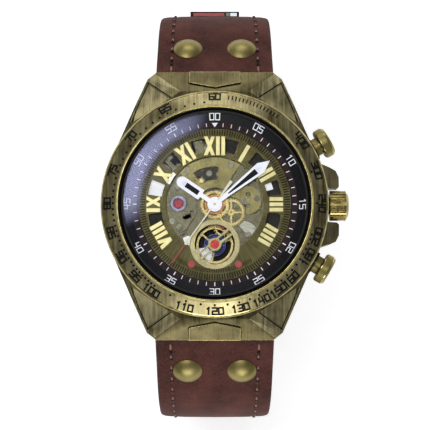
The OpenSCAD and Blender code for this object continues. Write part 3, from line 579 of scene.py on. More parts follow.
class Markings:
    """Thin raised strokes laid on a cone round the Z axis, gathered into one mesh."""

    def __init__(self, slope_from, slope_to, lift=0.03):
        self.slope_from, self.slope_to, self.lift = slope_from, slope_to, lift
        self.verts, self.faces = [], []

    def on_cone(self, angle, radius, lift):
        (r0, z0), (r1, z1) = self.slope_from, self.slope_to
        z = z0 + (z1 - z0) * (radius - r0) / (r1 - r0) + lift
        a = math.pi / 2 - angle
        return (radius * math.cos(a) * MM, radius * math.sin(a) * MM, z * MM)

    def add_prism(self, outline, lift):
        """outline: (angle, radius) corners of a flat shape."""
        first = len(self.verts)
        n = len(outline)
        for height in (lift - self.lift - 0.01, lift):
            self.verts += [self.on_cone(a, r, height) for a, r in outline]
        self.faces.append(tuple(first + n + i for i in range(n)))
        self.faces.append(tuple(first + i for i in reversed(range(n))))
        for i in range(n):
            j = (i + 1) % n
            self.faces.append((first + i, first + j, first + n + j, first + n + i))

    def stroke(self, p, q, width, angle, radius, flip):
        """A bar between two points given across and outwards from a place on the cone."""
        along = Vector((q[0] - p[0], q[1] - p[1])).normalized() * (width / 2)
        side = Vector((-along.y, along.x))
        p, q = Vector(p) - along, Vector(q) + along
        corners = [p + side, p - side, q - side, q + side]
        sign = -1 if flip else 1
        outline = [(angle + sign * c.x / radius, radius + sign * c.y) for c in corners]
        self.add_prism(outline, self.lift + 0.0015 * (len(self.faces) % 7))

    def number(self, text, degrees, radius, height, width):
        unit = height / DIGIT_HEIGHT
        wide = unit * DIGIT_STRETCH
        angle = math.radians(degrees)
        flip = 90 < degrees % 360 < 270
        start = -((len(text) - 1) * DIGIT_PITCH + 4) / 2
        for k, digit in enumerate(text):
            for line in DIGITS[digit]:
                points = [((start + k * DIGIT_PITCH + x) * wide, (y - DIGIT_HEIGHT / 2) * unit)
                          for x, y in line]
                for p, q in zip(points, points[1:]):
                    self.stroke(p, q, width, angle, radius, flip)

    def bar(self, degrees, r0, r1, width):
        angle = math.radians(degrees)
        half = width / 2
        self.add_prism([(angle - half / r0, r0), (angle + half / r0, r0),
                        (angle + half / r1, r1), (angle - half / r1, r1)], self.lift)

    def dot(self, degrees, radius, size, sides=12):
        angle = math.radians(degrees)
        ring = [2 * math.pi * i / sides for i in range(sides)]
        self.add_prism([(angle + size * math.cos(t) / radius, radius + size * math.sin(t))
                        for t in ring], self.lift)

    def make(self, name, finish, node):
        obj = mesh_object(name, self.verts, self.faces, finish, angle=10)
        return on_body_of(obj, node)


# ---------------------------------------------------------------- repeated shapes
def tree_with(name, inputs):
    tree = bpy.data.node_groups.new(name, "GeometryNodeTree")
    face = tree.interface
    face.new_socket("Geometry", in_out="INPUT", socket_type="NodeSocketGeometry")
    face.new_socket("Geometry", in_out="OUTPUT", socket_type="NodeSocketGeometry")
    for label, kind, value in inputs:
        face.new_socket(label, in_out="INPUT", socket_type=kind).default_value = value
    return tree


def run_tree(name, tree, host, settings):
    """Applies a tree to a host mesh and returns the plain mesh object that it makes."""
    mod = host.modifiers.new(name, "NODES")
    mod.node_group = tree
    for item in tree.interface.items_tree:
        if item.in_out == "INPUT" and item.name in settings:
            mod[item.identifier] = settings[item.name]
    graph = bpy.context.evaluated_depsgraph_get()
    made = bpy.data.meshes.new_from_object(host.evaluated_get(graph), depsgraph=graph)
    made.name = name
    bpy.data.objects.remove(host)
    obj = bpy.data.objects.new(name, made)
    bpy.context.scene.collection.objects.link(obj)
    return obj


def radial_bars_tree(material):
    """Small bars standing round a circle, each pointing at its centre."""
    tree = tree_with("radial_bars", [
        ("Count", "NodeSocketInt", 60), ("Radius", "NodeSocketFloat", 0.015),
        ("Length", "NodeSocketFloat", 0.001), ("Width", "NodeSocketFloat", 0.0001),
        ("Height", "NodeSocketFloat", 0.0001), ("Level", "NodeSocketFloat", 0.01)])
    add, join = tree.nodes.new, tree.links.new
    given, out = add("NodeGroupInput"), add("NodeGroupOutput")
    ring = add("GeometryNodeMeshCircle")
    join(given.outputs["Count"], ring.inputs["Vertices"])
    join(given.outputs["Radius"], ring.inputs["Radius"])
    size = add("ShaderNodeCombineXYZ")
    for axis, label in zip("XYZ", ("Length", "Width", "Height")):
        join(given.outputs[label], size.inputs[axis])
    bar = add("GeometryNodeMeshCube")
    join(size.outputs[0], bar.inputs["Size"])
    place = add("GeometryNodeInputPosition")
    turn = add("FunctionNodeAlignRotationToVector")
    turn.axis = "X"
    join(place.outputs[0], turn.inputs["Vector"])
    spread = add("GeometryNodeInstanceOnPoints")
    join(ring.outputs[0], spread.inputs["Points"])
    join(bar.outputs[0], spread.inputs["Instance"])
    join(turn.outputs[0], spread.inputs["Rotation"])
    real = add("GeometryNodeRealizeInstances")
    lift = add("ShaderNodeCombineXYZ")
    join(given.outputs["Level"], lift.inputs["Z"])
    move = add("GeometryNodeTransform")
    paint = add("GeometryNodeSetMaterial")
    paint.inputs["Material"].default_value = material
    join(spread.outputs[0], real.inputs[0])
    join(real.outputs[0], move.inputs["Geometry"])
    join(lift.outputs[0], move.inputs["Translation"])
    join(move.outputs[0], paint.inputs["Geometry"])
    join(paint.outputs[0], out.inputs[0])
    return tree


def radial_bars(name, node, finish, count, r0, r1, width, height, level):
    host = bpy.data.objects.new(name + "_host", bpy.data.meshes.new(name + "_host"))
    bpy.context.scene.collection.objects.link(host)
    tree = radial_bars_tree(FINISHES[finish])
    obj = run_tree(name, tree, host, {
        "Count": count, "Radius": (r0 + r1) / 2 * MM, "Length": (r1 - r0) * MM,
        "Width": width * MM, "Height": height * MM, "Level": level * MM})
    return on_body_of(obj, node)


def stitch_tree(material):
    """Short rounded stitches along a line, laid end to end with gaps."""
    tree = tree_with("stitches", [
        ("Pitch", "NodeSocketFloat", 0.003), ("Length", "NodeSocketFloat", 0.002),
        ("Radius", "NodeSocketFloat", 0.0003)])
    add, join = tree.nodes.new, tree.links.new
    given, out = add("NodeGroupInput"), add("NodeGroupOutput")
    line = add("GeometryNodeMeshToCurve")
    points = add("GeometryNodeCurveToPoints")
    points.mode = "LENGTH"
    join(given.outputs["Geometry"], line.inputs[0])
    join(line.outputs[0], points.inputs["Curve"])
    join(given.outputs["Pitch"], points.inputs["Length"])
    ball = add("GeometryNodeMeshUVSphere")
    ball.inputs["Segments"].default_value = 10
    ball.inputs["Rings"].default_value = 6
    ball.inputs["Radius"].default_value = 1
    half = add("ShaderNodeMath")
    half.operation = "MULTIPLY"
    half.inputs[1].default_value = 0.5
    join(given.outputs["Length"], half.inputs[0])
    size = add("ShaderNodeCombineXYZ")
    join(given.outputs["Radius"], size.inputs["X"])
    join(given.outputs["Radius"], size.inputs["Y"])
    join(half.outputs[0], size.inputs["Z"])
    spread = add("GeometryNodeInstanceOnPoints")
    join(points.outputs["Points"], spread.inputs["Points"])
    join(ball.outputs["Mesh"], spread.inputs["Instance"])
    join(points.outputs["Rotation"], spread.inputs["Rotation"])
    join(size.outputs[0], spread.inputs["Scale"])
    real = add("GeometryNodeRealizeInstances")
    soft = add("GeometryNodeSetShadeSmooth")
    paint = add("GeometryNodeSetMaterial")
    paint.inputs["Material"].default_value = material
    join(spread.outputs[0], real.inputs[0])
    join(real.outputs[0], soft.inputs["Geometry"])
    join(soft.outputs[0], paint.inputs["Geometry"])
    join(paint.outputs[0], out.inputs[0])
    return tree


def stitches(name, node, finish, lines, pitch, length, radius):
    verts, edges = [], []
    for line in lines:
        first = len(verts)
        verts += line
        edges += [(first + i, first + i + 1) for i in range(len(line) - 1)]
    mesh = bpy.data.meshes.new(name + "_path")
    mesh.from_pydata(verts, edges, [])
    host = bpy.data.objects.new(name + "_path", mesh)
    bpy.context.scene.collection.objects.link(host)
    obj = run_tree(name, stitch_tree(FINISHES[finish]), host, {
        "Pitch": pitch * MM, "Length": length * MM, "Radius": radius * MM})
    return on_body_of(obj, node)


# ---------------------------------------------------------------- bezel and flange
BEZEL_SLOPE = ((19.3, 13.2), (22.2, 11.4))
FLANGE_WALL = ((16.4, 10.5), (18.1, 12.0))
FLANGE_STEP = ((15.1, 10.3), (16.4, 10.5))
TACHY_NUMBERS = (60, 65, 70, 75, 80, 85, 90, 95, 100, 110, 120, 130, 140, 150, 160, 180,
                 200, 240, 300, 400)


def make_bezel():
    bezel = lathe("bezel_ring", [
        (18.3, 9.82), (22.1, 9.82), (22.35, 9.95), (22.5, 10.25), (22.5, 10.95), (22.4, 11.2),
        (22.15, 11.42), (21.95, 11.56), (19.55, 13.05), (19.36, 13.2), (19.28, 13.34),
        (19.22, 13.46), (19.14, 13.52), (18.98, 13.52), (18.9, 13.44), (18.5, 12.7),
        (18.3, 12.5)], "bezel", "edge", "patina", angle=60)
    for face in bezel.data.polygons:
        r = math.hypot(face.center.x, face.center.y) / MM
        if face.center.z > 12 * MM and r < 18.93:
            face.material_index = 2
        # index 1: lighter edge metal on the inner lip and outer rim, wear together with a painted
        # highlight
        elif face.center.z > 12 * MM and r < 19.4 or 22.0 < r and face.center.z > 11.1 * MM:
            face.material_index = 1
    put(bezel, "bezel")
    scale = Markings(*BEZEL_SLOPE)
    for value in TACHY_NUMBERS:
        scale.number(str(value), 21600 / value % 360, 21.15, 1.25, 0.34)
    for value in list(range(61, 100)) + list(range(100, 200, 5)) + [200, 240, 300, 400]:
        scale.dot(21600 / value % 360, 20.0, 0.24)
    for k in range(15):
        scale.bar(7.5 + 2 * k, 20.65, 21.6, 0.26)
    scale.make("bezel_scale", "print", "bezel")


def make_flange():
    flange = lathe("flange", [
        (15.1, 9.82), (18.2, 9.82), (18.22, 12.0), (18.1, 12.0), (16.45, 10.54), (16.36, 10.49),
        (15.16, 10.31), (15.1, 10.27)], "black", "brown", angle=20)
    for face in flange.data.polygons:
        r = math.hypot(face.center.x, face.center.y) / MM
        if 15.12 < r < 16.4 and face.center.z > 10 * MM:
            face.material_index = 1
    put(flange, "flange_ring")
    minutes = Markings(*FLANGE_WALL, lift=0.02)
    for k in range(12):
        minutes.number(f"{5 * k:02d}", 30 * k, 17.3, 1.15, 0.17)
    minutes.make("flange_numerals", "white", "flange_ring")
    ticks = Markings(*FLANGE_STEP, lift=0.02)
    for k in range(1, 60):
        ticks.bar(6 * k, 15.42, 16.15, 0.13 if k % 5 else 0.2)
    angle = 0.6 / 16
    ticks.add_prism([(0, 15.3), (angle, 16.15), (-angle, 16.15)], 0.02)
    ticks.make("flange_ticks", "white", "flange_ring")


CRYSTAL_R = 17.88
CRYSTAL_FOOT, CRYSTAL_EDGE, CRYSTAL_TOP = 12.1, 13.22, 13.8
CRYSTAL_CROWN = 0.56


def make_glass():
    """The domed crystal, and the flat glass of the case back."""
    count = 24
    dome = [(CRYSTAL_R * i / count, CRYSTAL_EDGE + CRYSTAL_CROWN * (1 - (i / count) ** 4))
            for i in range(count, 0, -1)]
    put(lathe_disc("crystal_dome", [(CRYSTAL_R, CRYSTAL_FOOT)] + dome, "glass",
                   tip=CRYSTAL_TOP), "crystal")
    put(finished_glass(), "back_window")


def finished_glass():
    low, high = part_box("back_window")
    r = high[0] / MM
    z0, z1 = low[2] / MM, high[2] / MM
    return lathe_disc("back_glass", [(r, z0), (r, z1)], "glass")


def lathe_disc(name, profile, *finishes, tip=None, steps=128):
    """A solid of revolution, closed on the axis at the last height, or at tip."""
    far = profile[-1][1] if tip is None else tip
    verts, faces = [(0, 0, profile[0][1] * MM), (0, 0, far * MM)], []
    for r, z in profile:
        verts += [(r * math.cos(2 * math.pi * i / steps) * MM,
                   r * math.sin(2 * math.pi * i / steps) * MM, z * MM) for i in range(steps)]
    for i in range(steps):
        j = (i + 1) % steps
        last = 2 + (len(profile) - 1) * steps
        faces.append((0, 2 + j, 2 + i))
        faces.append((1, last + i, last + j))
        for k in range(len(profile) - 1):
            a, b = 2 + k * steps, 2 + (k + 1) * steps
            faces.append((a + i, a + j, b + j, b + i))
    return mesh_object(name, verts, faces, *finishes, angle=40)


# ---------------------------------------------------------------- dial
def make_dial():
    finished("dial", "dial", "edge", bevel=0.06)
    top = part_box("dial")[1][2] / MM
    radial_bars("dial_minute_track", "dial", "print", 180, 13.8, 14.95, 0.23, 0.06, top)
    low_arc = Markings((9, top), (14, top), lift=0.015)
    for k in range(-22, 23):
        low_arc.bar(180 + 1.5 * k, 12.7, 13.5, 0.16)
    low_arc.make("dial_low_track", "print", "dial")
    studs = Markings((9, top), (14, top), lift=0.22)
    for x in (-4.6, 4.7):
        y = -11.85
        studs.dot(math.degrees(math.atan2(x, y)), math.hypot(x, y), 0.72, sides=24)
    dots = studs.make("dial_red_studs", "red", "dial")
    bevel_edges(dots, 0.08, 3)


def flat_piece(name, outline, heights, finish, node, turn=0.0, bevel=0.0):
    """A thin flat prism: its outline in mm, turned about Z by that many degrees."""
    a = math.radians(turn)
    ring = [((x * math.cos(a) - y * math.sin(a)) * MM, (x * math.sin(a) + y * math.cos(a)) * MM)
            for x, y in outline]
    n = len(ring)
    verts = [(x, y, z * MM) for z in heights for x, y in ring]
    faces = [tuple(range(n)), tuple(range(n, 2 * n))]
    faces += [(i, (i + 1) % n, n + (i + 1) % n, n + i) for i in range(n)]
    obj = mesh_object(name, verts, faces, finish)
    if bevel:
        bevel_edges(obj, bevel)
    return on_body_of(obj, node)


def make_hand_fills():
    """Black inlays and pale lume fields with a painted glow in the slots of the hour and minute
    hands.
    """
    hour, minute = 90 - 304.3, 90 - 51.6
    hour_z, minute_z = (10.12, 10.24), (10.47, 10.59)
    flat_piece("hour_hand_inlay", [(3.84, -0.56), (6.9, -0.56), (6.9, 0.56), (3.84, 0.56)],
               hour_z, "black", "hour_hand", hour)
    flat_piece("hour_hand_lume", [(6.9, -0.56), (7.86, -0.56), (7.86, 0.56), (6.9, 0.56)],
               (10.12, 10.29), "lume", "hour_hand", hour)
    flat_piece("minute_hand_inlay",
               [(3.28, -0.17), (10.5, -0.64), (10.5, 0.64), (3.28, 0.17)],
               minute_z, "black", "minute_hand", minute)
    flat_piece("minute_hand_lume",
               [(10.5, -0.64), (10.85, -0.67), (11.92, 0), (10.85, 0.67), (10.5, 0.64)],
               (10.47, 10.64), "lume", "minute_hand", minute)


# ---------------------------------------------------------------- case lines, dial windows
HIGH = 30 * MM


def draped(name, node, finish, corners, width, lift=0.02, step=0.25):
    """A thin line that lies on a CAD node's upper side, through these (x, y) corners in mm."""
    bm = bmesh.new()
    bm.from_mesh(NODES[node].data)
    ground = BVHTree.FromBMesh(bm)
    bm.free()
    points = []
    for (x0, y0), (x1, y1) in zip(corners, corners[1:]):
        n = max(1, int(math.hypot(x1 - x0, y1 - y0) / step))
        points += [(x0 + (x1 - x0) * i / n, y0 + (y1 - y0) * i / n) for i in range(n)]
    points.append(corners[-1])
    verts, faces = [], []
    for i, (x, y) in enumerate(points):
        ahead = points[min(i + 1, len(points) - 1)]
        behind = points[max(i - 1, 0)]
        along = Vector((ahead[0] - behind[0], ahead[1] - behind[1])).normalized()
        pair = [Vector(((x - along.y * side) * MM, (y + along.x * side) * MM, HIGH))
                for side in (-width / 2, width / 2)]
        feet = [ground.ray_cast(top, Vector((0, 0, -1)))[0] for top in pair]
        if all(feet):
            verts += [foot + Vector((0, 0, z * MM)) for foot in feet for z in (-0.03, lift)]
    count = len(verts) // 4
    for i in range(count - 1):
        a, b = 4 * i, 4 * i + 4
        faces += [(a, a + 1, b + 1, b), (a + 1, a + 3, b + 3, b + 1), (a + 3, a + 2, b + 2, b + 3),
                  (a + 2, a, b, b + 2)]
    last = 4 * (count - 1)
    faces += [(0, 2, 3, 1), (last, last + 1, last + 3, last + 2)]
    return on_body_of(mesh_object(name, verts, faces, finish, angle=40), node)


def make_case_lines():
    """Dark strips of painted shade along the facet grooves at the four corners, with a lighter
    strip of painted highlight beside each.
    """
    for x in (-1, 1):
        for y in (-1, 1):
            tag = f"{'right' if x > 0 else 'left'}_{'upper' if y > 0 else 'lower'}"
            corner = [(x * 13.9, y * 25.0), (x * 13.2, y * 24.5), (x * 8.7, y * 21.3)]
            flank = [(x * 13.2, y * 24.5), (x * 14.9, y * 20.6), (x * 16.5, y * 16.4)]
            # dark ribbon is painted groove shade; the lighter ribbon beside it is painted
            # highlight
            draped("corner_groove_shade_" + tag, "case_middle", "patina", corner, 0.26)
            draped("flank_groove_shade_" + tag, "case_middle", "patina", flank, 0.24)
            draped("corner_highlight_" + tag, "case_middle", "edge",
                   [(cx + x * 0.06, cy - y * 0.3) for cx, cy in corner[1:]], 0.13)
            draped("flank_highlight_" + tag, "case_middle", "edge",
                   [(cx + x * 0.26, cy + y * 0.05) for cx, cy in flank], 0.13)


def arc_window(hour_angle, half_deg, r0, r1):
    """Corners of a ring's sector about the direction clockwise from twelve, in degrees."""
    steps = 6
    angles = [90 - hour_angle + half_deg * (2 * i / steps - 1) for i in range(steps + 1)]
    outer = [(r1 * math.cos(math.radians(a)), r1 * math.sin(math.radians(a))) for a in angles]
    inner = [(r0 * math.cos(math.radians(a)), r0 * math.sin(math.radians(a)))
             for a in reversed(angles)]
    return outer + inner


def make_windows():
    """What shows at the bottom of the dial's slots: dark sheets of painted shade for the depth,
    black patches of painted shade for two holes, and glowing pale patches of painted light.
    """
    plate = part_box("main_plate")[1][2] / MM
    low, high = plate - 0.02, plate + 0.04
    for hour in (8.5, 12.5, 1.5, 2.5, 3.5):
        flat_piece(f"dark_window_{hour:g}".replace(".", "_"),
                   arc_window(30 * hour, 13, 9.7, 13.6), (low, high), "depth", "main_plate")
    # glowing pale patches: painted light where the backdrop would show through
    for tag, outline in (
            ("nine", arc_window(285, 9.5, 10.0, 13.5)),
            ("two", arc_window(71, 4, 10.2, 12.0)),
            ("low", [(-6.3, -6.6), (-5.1, -6.1), (-4.5, -7.6), (-5.2, -8.2), (-6, -7.4)])):
        flat_piece("painted_light_window_" + tag, outline, (low, high + 0.03), "backdrop_light", "main_plate")
    # black patches on the plate: painted shade standing for two holes
    for tag, angle, radius in (("ten", 318, 11.8), ("eleven", 337, 12.1)):
        hole = arc_window(angle, 3.6, radius - 0.75, radius + 0.75)
        flat_piece("plate_hole_shade_" + tag, hole, (low, high), "black", "main_plate")
    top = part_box("dial")[1][2] / MM
    flat_piece("dial_light_gap_ten", arc_window(301, 7, 9.75, 10.45), (top - 0.02, top + 0.03), "backdrop_light",
               "dial")


def make_balance_well():
    """Dark disc of painted shade under the balance, with one glowing pale patch of painted light
    at the lower left.
    """
    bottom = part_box("train_bridge")[0][2] / MM + 1.02
    centre = [(a + b) / 2 / MM for a, b in zip(*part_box("balance_wheel"))][:2]
    shade_disc = lathe("balance_shade_disc", [(0.7, bottom), (4.3, bottom), (4.3, bottom + 0.05),
                                  (0.7, bottom + 0.05)], "depth", centre=centre, steps=96)
    on_body_of(shade_disc, "train_bridge")
    gap = [(x + centre[0], y + centre[1]) for x, y in arc_window(228, 32, 1.4, 3.9)]
    flat_piece("painted_light_window_balance", gap, (bottom + 0.04, bottom + 0.09), "backdrop_light",
               "train_bridge")


def make_centre_ring():
    r = 1.95
    z0 = 9.33
    ring = lathe("centre_ring", [(r - 0.45, z0), (r, z0), (r, z0 + 0.07), (r - 0.45, z0 + 0.07)],
                 "copper", steps=96)
    on_body_of(ring, "hour_wheel")


# ---------------------------------------------------------------- strap
BAR_Y, BAR_Z = 24.3, 4.2
SLOPE = math.radians(40)
STRAIGHT = 13.0
BEND_R = 19.0
BEND_LEN = BEND_R * (math.pi / 2 - SLOPE)
BEND_Y = BAR_Y + STRAIGHT * math.cos(SLOPE) - BEND_R * math.sin(SLOPE)
BEND_Z = BAR_Z - STRAIGHT * math.sin(SLOPE) - BEND_R * math.cos(SLOPE)
CREST_Y = BEND_Y + BEND_R
UPPER = {"side": 1, "len": 75.0, "drop": 0.5, "turn": 22.0}
LOWER = {"side": -1, "len": 114.0, "drop": 25.0, "turn": 20.0}
THICK, THICK_END = 4.0, 2.6
WIDTH, WIDTH_END = 24.0, 20.0


def route(s, half):
    """Where the strap's middle is, s mm from the spring bar: out, up and heading."""
    drop, turn = half["drop"], half["turn"]
    after_bend = s - STRAIGHT - BEND_LEN
    after_drop = after_bend - drop
    turn_len = turn * math.pi / 2
    if s <= STRAIGHT:
        return BAR_Y + s * math.cos(SLOPE), BAR_Z - s * math.sin(SLOPE), -SLOPE
    if after_bend <= 0:
        h = -SLOPE - (s - STRAIGHT) / BEND_R
        return BEND_Y - BEND_R * math.sin(h), BEND_Z + BEND_R * math.cos(h), h
    if after_drop <= 0:
        return CREST_Y, BEND_Z - after_bend, -math.pi / 2
    if after_drop <= turn_len:
        h = -math.pi / 2 - after_drop / turn
        return (CREST_Y - turn - turn * math.sin(h), BEND_Z - drop + turn * math.cos(h), h)
    return CREST_Y - turn - (after_drop - turn_len), BEND_Z - drop - turn, -math.pi


def lowest():
    return BEND_Z - LOWER["drop"] - LOWER["turn"] - 3


def half_width(z):
    share = min(1, max(0, (BAR_Z - z) / (BAR_Z - lowest())))
    return (WIDTH - (WIDTH - WIDTH_END) * share) / 2


def strap_point(s, x, out, half):
    """x across the strap and out from its middle surface, to a place in the frame."""
    y, z, h = route(s, half)
    y, z = y - out * math.sin(h), z + out * math.cos(h)
    return Vector((x * MM, half["side"] * y * MM, z * MM))


def thickness(s, half):
    return THICK + (THICK_END - THICK) * max(s, 0) / half["len"]


STITCH_IN = 3.05
STITCH_PITCH = 2.9
PAINTED_STEPS = 5
ACROSS = 40


def section(wide, thick):
    """Closed outline of the strap across: rounded edges and a sunk stitch line."""
    points = []
    for i in range(ACROSS + 1):
        t = math.pi * i / ACROSS
        x = -math.copysign(abs(math.cos(t)) ** 0.22, math.cos(t)) * wide
        crown = abs(math.sin(t)) ** 0.3
        sink = 0.16 * math.exp(-((abs(x) - (wide - STITCH_IN)) / 0.45) ** 2)
        puff = 0.18 * (1 - (x / wide) ** 2)
        points.append((x, crown * (thick / 2 - 0.12 + puff - sink)))
    points += [(x, -crown_out(x, wide) * (thick / 2 - 0.02)) for x, _ in reversed(points[1:-1])]
    return points


def crown_out(x, wide):
    return max(0.0, 1 - abs(x / wide) ** 9) ** 0.5


def tail_width(s, half):
    """Half the strap's width at s, drawn in to a rounded point on the lower half."""
    z = route(s, half)[1]
    wide = half_width(z) - 0.05
    left = half["len"] - s
    if half is LOWER and left < 9:
        share = max(0.0, 1 - ((9 - left) / 9.05) ** 2.2)
        wide *= 0.16 + 0.84 * share ** 0.6
    return wide


def strap_mesh(name, half):
    steps = 220
    start, end = -1.75, half["len"]
    verts, faces = [], []
    for k in range(steps + 1):
        s = start + (end - start) * k / steps
        thick = thickness(s, half)
        if s < 0:
            thick = 2 * math.sqrt(max(0.05, 1.93 ** 2 - s * s))
        if half is LOWER:
            left = half["len"] - s
            thick *= min(1.0, 0.35 + 0.65 * math.sqrt(max(0.0, left) / 1.2))
        ring = section(tail_width(s, half), thick)
        verts += [strap_point(s, x, out, half) for x, out in ring]
    n = len(section(10, 3))
    for k in range(steps):
        a, b = k * n, (k + 1) * n
        for i in range(n):
            j = (i + 1) % n
            faces.append((a + i, a + j, b + j, b + i))
    faces.append(tuple(range(n)))
    faces.append(tuple(range(steps * n, steps * n + n)))
    obj = mesh_object(name, verts, faces, "leather", "lining", "edge_paint", angle=50)
    for face in obj.data.polygons:
        i = face.index % n
        from_edge = min(i, n - i, abs(i - ACROSS))
        if len(face.vertices) != 4 or from_edge < PAINTED_STEPS:
            face.material_index = 2
        elif i > ACROSS:
            face.material_index = 1
    return obj


def cut(obj, cutters):
    """Cuts the cutters out of obj and leaves a plain mesh."""
    for tool in cutters:
        mod = obj.modifiers.new("cut", "BOOLEAN")
        mod.operation = "DIFFERENCE"
        mod.solver = "EXACT"
        mod.object = tool
    graph = bpy.context.evaluated_depsgraph_get()
    made = bpy.data.meshes.new_from_object(obj.evaluated_get(graph), depsgraph=graph)
    obj.modifiers.clear()
    obj.data = made
    for tool in cutters:
        bpy.data.objects.remove(tool)
    return obj


def drill(name, places, radius, half, deep=5.0, sides=24):
    """Short rods through the strap at each distance along it."""
    verts, faces = [], []
    for s in places:
        first = len(verts)
        for out in (-deep, deep):
            verts += [strap_point(s + radius * math.cos(2 * math.pi * i / sides),
                                  radius * math.sin(2 * math.pi * i / sides), out, half)
                      for i in range(sides)]
        faces += [tuple(first + i for i in range(sides)),
                  tuple(first + sides + i for i in range(sides))]
        faces += [(first + i, first + (i + 1) % sides, first + sides + (i + 1) % sides,
                   first + sides + i) for i in range(sides)]
    return mesh_object(name, verts, faces, "hole")


def make_strap(node, half):
    obj = strap_mesh(node + "_leather", half)
    end_y, end_z, _ = route(half["len"], half)
    if half is UPPER:
        slot = box_mesh("tongue_slot", (-1.3 * MM, (end_y - 5) * MM, (end_z - 5) * MM),
                        (1.3 * MM, (end_y + 3) * MM, (end_z + 5) * MM), "hole")
        bar = along_x_rod("bar_bore", (0, end_y, end_z), 0.82, 15)
        cut(obj, [slot, bar])
    else:
        places = [half["len"] - 13 - 6.5 * i for i in range(7)]
        cut(obj, [drill("strap_holes", places, 0.9, half)])
    put(obj, node)
    rows = []
    for x in (-1, 1):
        top = []
        for k in range(121):
            s = 3.4 + (half["len"] - 3.4 - (12 if half is LOWER else 7)) * k / 120
            inset = tail_width(s, half) - STITCH_IN
            top.append(strap_point(s, x * inset, thickness(s, half) / 2 - 0.14, half))
        rows.append(top)
    stitches(node + "_stitches", node, "thread", rows, STITCH_PITCH, 1.75, 0.26)
    for row in rows:
        row[0] = row[0] + (row[1] - row[0]).normalized() * (STITCH_PITCH / 2) * MM
    # dark blobs between the stitches: painted shade of the stitch holes
    stitches(node + "_stitch_hole_shade", node, "hole", rows, STITCH_PITCH, 1.0, 0.34)


def along_x_rod(name, centre, radius, half_len, sides=32):
    verts = []
    for x in (-half_len, half_len):
        verts += [(x * MM, (centre[1] + radius * math.cos(2 * math.pi * i / sides)) * MM,
                   (centre[2] + radius * math.sin(2 * math.pi * i / sides)) * MM)
                  for i in range(sides)]
    faces = [tuple(range(sides)), tuple(range(sides, 2 * sides))]
    faces += [(i, (i + 1) % sides, sides + (i + 1) % sides, sides + i) for i in range(sides)]
    return mesh_object(name, verts, faces, "hole")


# ---------------------------------------------------------------- everything else
METALWORK = {
    # node: (finish, edge finish or None, edge width in mm)
    "lug_shields": ("case", "edge", 0.12),
    "case_back": ("case", "edge", 0.12),
    "case_tubes": ("dark_steel", None, 0.08),
    "crystal_gasket": ("rubber", None, 0.03),
    "back_screws": ("steel", None, 0.04),
    "spring_bars": ("steel", None, 0.06),
    "movement_ring": ("brushed_nickel", None, 0.05),
    "main_plate": ("nickel", "steel", 0.07),
    "hour_numerals": ("gilt", None, 0.035),
    "dial_side_plate": ("nickel", "steel", 0.09),
    "top_bridge": ("gilt_plate", "gilt", 0.08),
    "centre_cock": ("gilt_plate", "gilt", 0.08),
    "leaf_plate": ("brushed_nickel", "steel", 0.06),
    "balance_bridge": ("ring", "edge", 0.08),
    "barrel_bridge": ("brushed_nickel", "steel", 0.1),
    "train_bridge": ("brushed_nickel", "steel", 0.1),
    "jewel_settings": ("setting", None, 0.1),
    "bridge_screws": ("screw", None, 0.03),
    "rotor_post": ("steel", None, 0.05),
    "barrel_drum": ("wheel", None, 0.02),
    "mainspring": ("dark_steel", None, 0.0),
    "barrel_arbor": ("screw", None, 0.04),
    "ratchet_wheel": ("dark_steel", "steel", 0.03),
    "centre_wheel": ("wheel", None, 0.015),
    "cannon_pinion": ("steel", None, 0.02),
    "third_wheel": ("wheel", None, 0.015),
    "seconds_wheel": ("wheel", None, 0.015),
    "escape_wheel": ("wheel", None, 0.015),
    "pallet_fork": ("steel", None, 0.015),
    "balance_wheel": ("wheel", "gilt", 0.04),
    "hairspring": ("blue_steel", None, 0.0),
    "minute_wheel": ("wheel", None, 0.015),
    "hour_wheel": ("wheel", None, 0.015),
    "hour_hand": ("white", None, 0.05),
    "minute_hand": ("white", None, 0.05),
    "seconds_cap": ("white", None, 0.05),
    "rotor": ("gilt_plate", "gilt", 0.06),
    "rotor_weight": ("brushed_nickel", "steel", 0.1),
    "crown": ("brass", "edge", 0.1),
    "winding_stem": ("steel", None, 0.05),
    "clutch_pinion": ("steel", None, 0.03),
    "pusher_upper": ("satin", "edge", 0.2),
    "pusher_lower": ("satin", "edge", 0.2),
    "strap_rivets_12": ("satin", None, 0.12),
    "strap_rivets_6": ("satin", None, 0.12),
    "buckle_bar": ("steel", None, 0.08),
    "buckle_frame": ("brass", "edge", 0.3),
    "buckle_tongue": ("brass", "edge", 0.2),
    "strap_keeper": ("leather", None, 0.5),
}


FACET_TILT = math.radians(20)


def make_metalwork():
    for node, (finish, edge, bevel) in METALWORK.items():
        finished(node, finish, edge, bevel, segments=3 if bevel > 0.1 else 2)


def make_case():
    """The case, with a lighter copy of its bronze on the four corner facets as painted highlight.
    """
    case = finished("case_middle", "case", "edge", bevel=0.14, segments=3)
    case.data.materials.append(FINISHES["facet"])
    for face in case.data.polygons:
        lean = math.hypot(face.normal.x, face.normal.y)
        if abs(lean - math.sin(FACET_TILT)) < 0.01 and abs(face.normal.x) > 0.1:
            face.material_index = 2


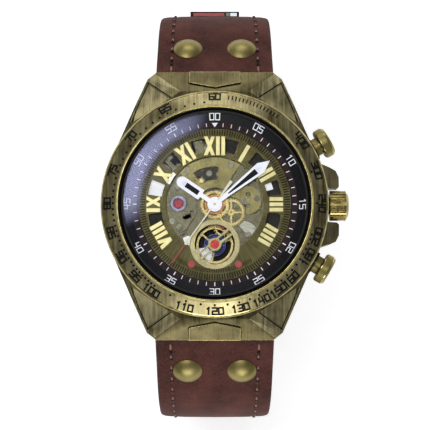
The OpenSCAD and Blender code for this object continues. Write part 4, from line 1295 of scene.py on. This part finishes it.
def make_jewels():
    """Rubies, with a brighter red one on the small ring's bar."""
    stones = finished("jewels", "ruby", None, 0)
    stones.data.materials.append(FINISHES["jewel_red"])
    ring = [(a + b) / 2 for a, b in zip(*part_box("balance_bridge"))]
    for face in stones.data.polygons:
        near = math.hypot(face.center.x - ring[0], face.center.y - ring[1]) < MM
        if near and face.center.z > 9.3 * MM:
            face.material_index = 1
    bevel_edges(stones, 0.05)


def make_seconds_hand():
    """White needle whose outer end is red."""
    hand = finished("seconds_hand", "cream", "red", bevel=0)
    angle = math.radians(90 - 216)
    along = Vector((math.cos(angle), math.sin(angle), 0))
    bm = bmesh.new()
    bm.from_mesh(hand.data)
    bmesh.ops.bisect_plane(bm, geom=list(bm.verts) + list(bm.edges) + list(bm.faces),
                           plane_co=along * 9.9 * MM, plane_no=along)
    for face in bm.faces:
        if face.calc_center_median().dot(along) > 9.9 * MM:
            face.material_index = 1
    bm.to_mesh(hand.data)
    bm.free()


def make_tab():
    """Small black tab on the strap with a red field and a white and green end."""
    finished("strap_tab", "black", None, 0.15, 3)
    low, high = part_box("strap_tab")
    skin = 0.06 * MM
    mid = low[0] + (high[0] - low[0]) * 0.7
    last = low[0] + (high[0] - low[0]) * 0.86
    fields = (("tab_red_field", low[0] + 0.6 * MM, mid, "red"),
              ("tab_white_field", last - 0.4 * MM, high[0] - 0.5 * MM, "white"),
              ("tab_green_field", mid + 0.3 * MM, last - 0.5 * MM, "green"))
    for name, x0, x1, finish in fields:
        field = box_mesh(name, (x0, low[1] + 0.3 * MM, high[2] - 0.2 * MM),
                         (x1, high[1] - 0.3 * MM, high[2] + skin), finish)
        bevel_edges(field, 0.04)
        on_body_of(field, "strap_tab")


make_camera()
make_bezel()
make_flange()
make_glass()
make_dial()
make_metalwork()
make_case()
make_jewels()
make_seconds_hand()
make_hand_fills()
make_case_lines()
make_windows()
make_balance_well()
make_centre_ring()
make_strap("strap_12", UPPER)
make_strap("strap_6", LOWER)
make_tab()
make_stage()
